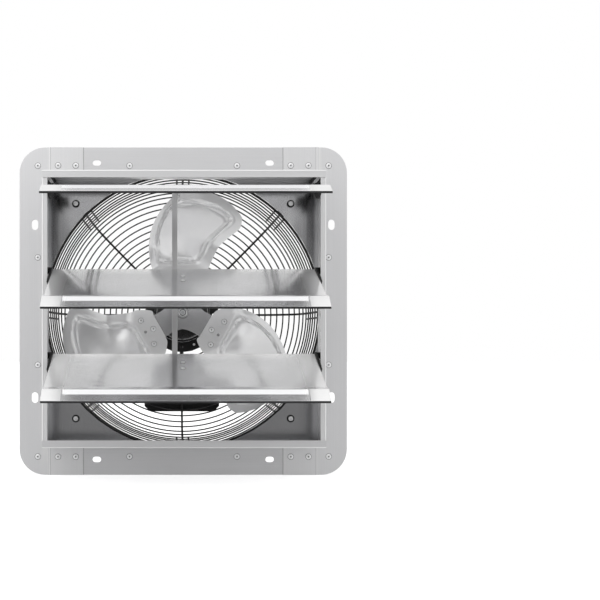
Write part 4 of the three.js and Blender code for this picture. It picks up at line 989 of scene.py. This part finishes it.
def rear_housing():
    front, rear = span("motor_rear_housing")
    centre = [(radius, rear - depth) for radius, depth in REAR_CENTRE]
    rounding = [(REAR_HOUSING_R - step, rear - depth) for step, depth in REAR_ROUNDING]
    lip = [(REAR_HOUSING_R - step, front + depth) for step, depth in REAR_LIP]
    pieces = [turned("motor_rear_housing_finished", centre + rounding + lip, HOUSING_SIDES)]
    inner, outer = [REAR_HOUSING_R + step for step in LUG_RADII]
    width, thickness = LUG_SIZE
    for number in range(4):
        lug = block("lug", (inner, front, -width / 2), (outer, front + thickness, width / 2))
        round_edges(lug, LUG_ROUNDING, 3)
        lug.data.transform(Matrix.Rotation(math.radians(-MOTOR_SCREW_TURN - 90 * number), 4, "Y"))
        pieces.append(lug)
    shell = fused("motor_rear_housing_finished", pieces)
    settle(coat(shell, [motor_enamel]), "frame", "motor_paint", "motor_rear_housing")


def mount_disc():
    """The disc in the guard that carries the motor, with four spare holes."""
    disc = merged_copy("motor_mount_disc")
    front, rear = span("motor_mount_disc")
    for at in ((0, -1), (0, 1), (-1, 0), (1, 0)):
        cut_away(disc, bar("disc_hole", "y", DISC_HOLE_R, front - SHEET, rear + SHEET,
                           [MOTOR_SCREW_RING_R * share for share in at]))
    round_edges(disc, THICK_ROUNDING, angle=40)
    settle(coat(disc, [guard_coat]), "frame", "guard_paint", "motor_mount_disc")


def stator_core():
    """The bare core of the motor, whose end faces are painted."""
    core = round_edges(merged_copy("stator_core"), THICK_ROUNDING, angle=40)
    settle(core, "frame", "core_steel", "stator_core")
    coat(core, [core_steel, motor_enamel], lambda face: int(abs(face.normal.y) > CORE_END_NORMAL))


front_housing()
rear_housing()
mount_disc()
stator_core()
for number in range(1, 5):
    softened(f"motor_screw_{number}", zinc, "zinc_fastener")


# Junction box

def cable_gland():
    low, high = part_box("cable_gland")
    middle = (low.y + high.y) / 2
    radius = (high.x - low.x) / 2
    seam = low.z + GLAND_NUT_HEIGHT
    body = bar("gland", "z", radius, low.z, seam, (0, middle), sides=6)
    cap = bar("cap", "z", radius * GLAND_CAP_SHARE, seam, high.z, (0, middle))
    gland = fused("cable_gland_finished", [round_edges(body, MOULDED_ROUNDING),
                                           round_edges(cap, GLAND_CAP_ROUNDING, 3)])
    settle(coat(gland, [black_nylon]), "frame", "black_nylon", "cable_gland")


def motor_cable():
    """From the motor's rear housing down into the gland."""
    low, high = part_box("motor_cable")
    start_y = span("motor_rear_housing")[1] - CABLE_EXIT
    end_y = sum(span("cable_gland")) / 2
    through = [Vector((0, start_y + (end_y - start_y) * back + CABLE_BULGE * bulge,
                       high.z - (high.z - low.z) * down)) for down, back, bulge in CABLE_SHARES]
    fine = []
    for a, b, c, d in zip([through[0], *through], through, through[1:], [*through[2:], through[-1]]):
        for step in range(CABLE_STEPS):
            t = step / CABLE_STEPS
            fine.append(0.5 * (2 * b + (c - a) * t + (2 * a - 5 * b + 4 * c - d) * t * t
                               + (3 * b - a - 3 * c + d) * t ** 3))
    tube = wire([*fine, through[-1]], CABLE_R, sides=16)
    tube.name = tube.data.name = "motor_cable_finished"
    settle(coat(tube, [cable_sheath]), "frame", "cable_sheath", "motor_cable")


for name in ("junction_box_base", "junction_box_cover"):
    softened(name, black_nylon, "black_nylon", width=JUNCTION_BOX_ROUNDING, segments=3, angle=30)
for number in (1, 2):
    softened(f"cover_screw_{number}", zinc, "zinc_fastener")
cable_gland()
motor_cable()


# Fan

def on_ring(angle, radius):
    """X and Z at an angle from the top and a distance from the fan's axis."""
    return radius * math.sin(math.radians(angle)), radius * math.cos(math.radians(angle))


def edge_at(edge, share):
    """Angle and radius on a blade's edge, by a smooth curve through its chosen points."""
    whole = share * (len(edge) - 1)
    number = min(int(whole), len(edge) - 2)
    turn, reach = curve_point(*with_ends(edge)[number:number + 4], whole - number)
    return turn, BLADE_ROOT_R + reach * (BLADE_TIP_R - BLADE_ROOT_R)


def blade_point(u, v):
    """A place on a blade's front face, u across it and v along it, before its panel is pressed."""
    left_turn, left_r = edge_at(BLADE_LEFT, v)
    right_turn, right_r = edge_at(BLADE_RIGHT, v)
    turn = math.radians(left_turn + (right_turn - left_turn) * u)
    middle = 4 * u * (1 - u)
    radius = left_r + (right_r - left_r) * u
    radius += middle * (BLADE_TIP_BULGE * v ** 4 - BLADE_ROOT_HOLLOW * (1 - v) ** 4)
    across = radius * math.sin(turn)
    pitch = across * (BLADE_PITCH_SLOPE - across / BLADE_CAMBER_R) * ease(BLADE_FLAT_R, BLADE_TWIST_R, radius)
    half_width = radius * math.radians(right_turn - left_turn) / 2
    left_scale, right_scale = PANEL_SIDE_SCALES
    from_side = half_width * 2 * min(u * left_scale, (1 - u) * right_scale)
    from_tip = (1 - v) * (BLADE_TIP_R - BLADE_ROOT_R + middle * 4 * BLADE_TIP_BULGE)
    from_root = radius * math.cos(turn) - PANEL_ROOT + PANEL_BEAD[0]
    nearness = sum(math.exp(-gap / PANEL_CORNER) for gap in (from_side, from_tip, from_root))
    nearest = -math.log(nearness) * PANEL_CORNER
    bead_at, bead_width, bead_rise = PANEL_BEAD
    pressed = PANEL_RISE * ease(*PANEL_BORDER, nearest)
    pressed += bead_rise * math.exp(-((nearest - bead_at) / bead_width) ** 2)
    rear_face = SPIDER_Y - GAP
    return Vector((across, rear_face - BLADE_SHEET + pitch - pressed, radius * math.cos(turn)))


def blade_model():
    """A pressed blade at the top of the fan, with the spare hole in its root."""
    columns, rows = BLADE_GRID
    deselect()
    bpy.ops.mesh.primitive_grid_add(x_subdivisions=columns, y_subdivisions=rows, size=1)
    blade = named("fan_blade")
    for vertex in blade.data.vertices:
        vertex.co = blade_point(vertex.co.x + 0.5, vertex.co.y + 0.5)
    with editing(blade):
        bpy.ops.mesh.normals_make_consistent(inside=False)
    if blade.data.polygons[0].normal.y > 0:
        blade.data.flip_normals()
    apply(blade, "SOLIDIFY", thickness=BLADE_SHEET, offset=-1)
    angle, radius, hole_r = BLADE_HOLE
    cut_away(blade, bar("blade_hole", "y", hole_r, SPIDER_Y - CUT_OVERRUN, SPIDER_Y + CUT_OVERRUN,
                        on_ring(angle, radius)))
    return blade


def fan_blades():
    model = coat(blade_model(), [blade_aluminium])
    for number in range(1, BLADE_COUNT + 1):
        turn = Matrix.Rotation(math.radians((number - 1) * 360 / BLADE_COUNT), 4, "Y")
        blade = copy_of(model, f"fan_blade_{number}_finished", turn)
        settle(blade, "fan_rotor", "fan_aluminium", f"fan_blade_{number}", angle=40)
        for count, (angle, radius) in enumerate(BLADE_RIVETS, 1):
            x, z = on_ring(angle, radius)
            seat = turn @ Matrix.Translation((x, SPIDER_Y - GAP - BLADE_SHEET, z))
            rivet = copy_of(rivet_head, f"blade_rivet_{number}_{count}",
                            seat @ Matrix.Scale(BLADE_RIVET_SCALE, 4))
            settle(rivet, "fan_rotor", "zinc_fastener")
    bpy.data.objects.remove(model)


def hub_washer():
    """The washer with a raised rim."""
    low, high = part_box("hub_washer")
    radius = (high.x - low.x) / 2
    rim = [(radius * share, low.y + depth) for share, depth in WASHER_PROFILE]
    bore = [(HUB_BOLT_R + GAP, low.y + WASHER_RIM), (HUB_BOLT_R + GAP, high.y)]
    washer = turned("hub_washer_finished", [bore[1], (radius, high.y), *rim, *bore], closed=True)

    # The groove and the outer edge are painted dark as shade
    def dark(face):
        share = from_axis(face) / radius
        return int(WASHER_DARK_SHARES[0] < share < WASHER_DARK_SHARES[1] or share > WASHER_EDGE_SHARE)
    settle(coat(washer, [zinc, hem_shadow], dark), "fan_rotor", "zinc_fastener", "hub_washer")


def hub_bolt():
    """The bolt with a ring round its socket."""
    front, rear = span("hub_bolt")
    seat = span("hub_washer")[0] - GAP
    head = [(HUB_HEAD_R * share, front + depth) for share, depth in HUB_HEAD_PROFILE]
    bolt = turned("hub_bolt_finished", [*head, (HUB_HEAD_R, seat), (HUB_BOLT_R, seat), (HUB_BOLT_R, rear)])
    # The groove round the socket is painted dark as shade
    inner, outer = [HUB_HEAD_R * share for share in HUB_HEAD_DARK_SHARES]
    coat(bolt, [zinc, hem_shadow], lambda face: int(inner < from_axis(face) < outer))
    settle(bolt, "fan_rotor", "zinc_fastener", "hub_bolt")


fan_blades()
softened("blade_spider", spider_steel, "plate_steel", "fan_rotor", THICK_ROUNDING, angle=30)
hub_washer()
hub_bolt()
softened("hub_sleeve", zinc, "zinc_fastener", "fan_rotor")
bpy.data.objects.remove(rivet_head)

# CAD nodes that are right as they are
for name, finish in {
    "link_pin_1": zinc, "link_pin_2": zinc, "link_pin_3": zinc, "motor_shaft": zinc, "front_bearing": zinc,
    "rear_bearing": zinc, "rotor_core": core_steel, "stator_winding": copper, "capacitor": black_nylon,
}.items():
    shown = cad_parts[name]
    shown.data.materials.clear()
    shown.data.materials.append(finish)


# Stage

def studio_side(tree, direction):
    """How bright a mirrored ray finds the studio: dark in front of the louvres and less bright overhead."""
    pitch = math.radians(DARK_PITCH)
    towards = node(tree, "VectorMath", {0: direction, 1: (0, -math.cos(pitch), math.sin(pitch))},
                   operation="DOT_PRODUCT")["Value"]
    near, far = [math.cos(math.radians(angle)) for angle in DARK_ANGLES]
    side = spread(tree, towards, far, near, 1.0, DARK_SIDE, interpolation_type="SMOOTHSTEP")
    return product(tree, side, spread(tree, along(tree, "Z", direction), *OVERHEAD, 1.0, MIRRORED_ABOVE))


def seen_share(tree, mirrored):
    """1 for rays that see the background, a share for mirrored ones, and 0 for those that light the fan."""
    path = node(tree, "LightPath")
    mirror = product(tree, path["Is Glossy Ray"], mirrored)
    clear = node(tree, "Math", {0: path["Is Camera Ray"], 1: path["Is Transmission Ray"]},
                 operation="MAXIMUM")[0]
    return node(tree, "Math", {0: clear, 1: mirror}, operation="MAXIMUM")[0]


def between(tree, share, first, second):
    return node(tree, "Mix", {"Factor": share, 2: first, 3: second}, data_type="FLOAT")[0]


def stage_floor():
    """A floor that looks white from all sides, and still takes the fan's soft shadow. Mirrored rays find it
    as bright as the studio that it hides, each by its own direction."""
    deselect()
    bpy.ops.mesh.primitive_plane_add(size=FLOOR_SIZE, location=(0, 0, cad_box[0].z - FLOOR_DROP))
    floor = named("floor")
    made, tree, shader = new_material("pale_floor")
    shader["Roughness"].default_value = FLOOR_ROUGHNESS
    shader["Specular IOR Level"].default_value = FLOOR_SHINE
    shader["Emission Color"].default_value = (1, 1, 1, 1)
    looking = node(tree, "VectorMath", {0: node(tree, "NewGeometry")["Incoming"], 1: (-1, -1, -1)},
                   operation="MULTIPLY")["Vector"]
    side = product(tree, studio_side(tree, looking), FLOOR_MIRRORED)
    tree.links.new(product(tree, seen_share(tree, side), FLOOR_GLOW), shader["Emission Strength"])
    glossy = node(tree, "LightPath")["Is Glossy Ray"]
    tree.links.new(between(tree, glossy, FLOOR_COLOUR, side), shader["Base Color"])
    coat(floor, [made])


def world_light():
    """White where it is seen or mirrored, and a softer light from above for the fan."""
    world = bpy.data.worlds.new("studio")
    bpy.context.scene.world = world
    world.use_nodes = True
    tree = world.node_tree
    sky = tree.nodes["Background"].inputs
    direction = node(tree, "TexCoord")["Generated"]
    shade = spread(tree, along(tree, "Z", direction), -1.0, 1.0, LIGHT_BELOW, LIGHT_ABOVE)
    bright = between(tree, node(tree, "LightPath")["Is Glossy Ray"], 1.0, studio_side(tree, direction))
    tree.links.new(between(tree, seen_share(tree, 1.0), shade, bright), sky["Strength"])
    sky["Color"].default_value = (1, 1, 1, 1)


def soft_lamp(name, place, aim, size, power):
    lamp = bpy.data.lights.new(name, "AREA")
    lamp.shape, lamp.size, lamp.energy = "SQUARE", size, power
    made = added(name, lamp)
    made.location = place
    made.rotation_euler = (Vector(aim) - Vector(place)).to_track_quat("-Z", "Y").to_euler()


def camera():
    """Level, looking along +Y, and shifted so that the fan stands at the left of the picture."""
    lens = bpy.data.cameras.new("camera")
    lens.lens, lens.sensor_width = CAMERA_LENS
    lens.shift_x, lens.shift_y = CAMERA_SHIFT
    lens.clip_start, lens.clip_end = CAMERA_CLIP
    made = added("camera", lens)
    made.location = CAMERA_PLACE
    made.rotation_euler = (math.pi / 2, 0, 0)
    bpy.context.scene.camera = made


stage_floor()
world_light()
for name, (place, aim, size, power) in LAMPS.items():
    soft_lamp(name, place, aim, size, power)
camera()
bpy.context.scene.view_settings.view_transform = "Standard"
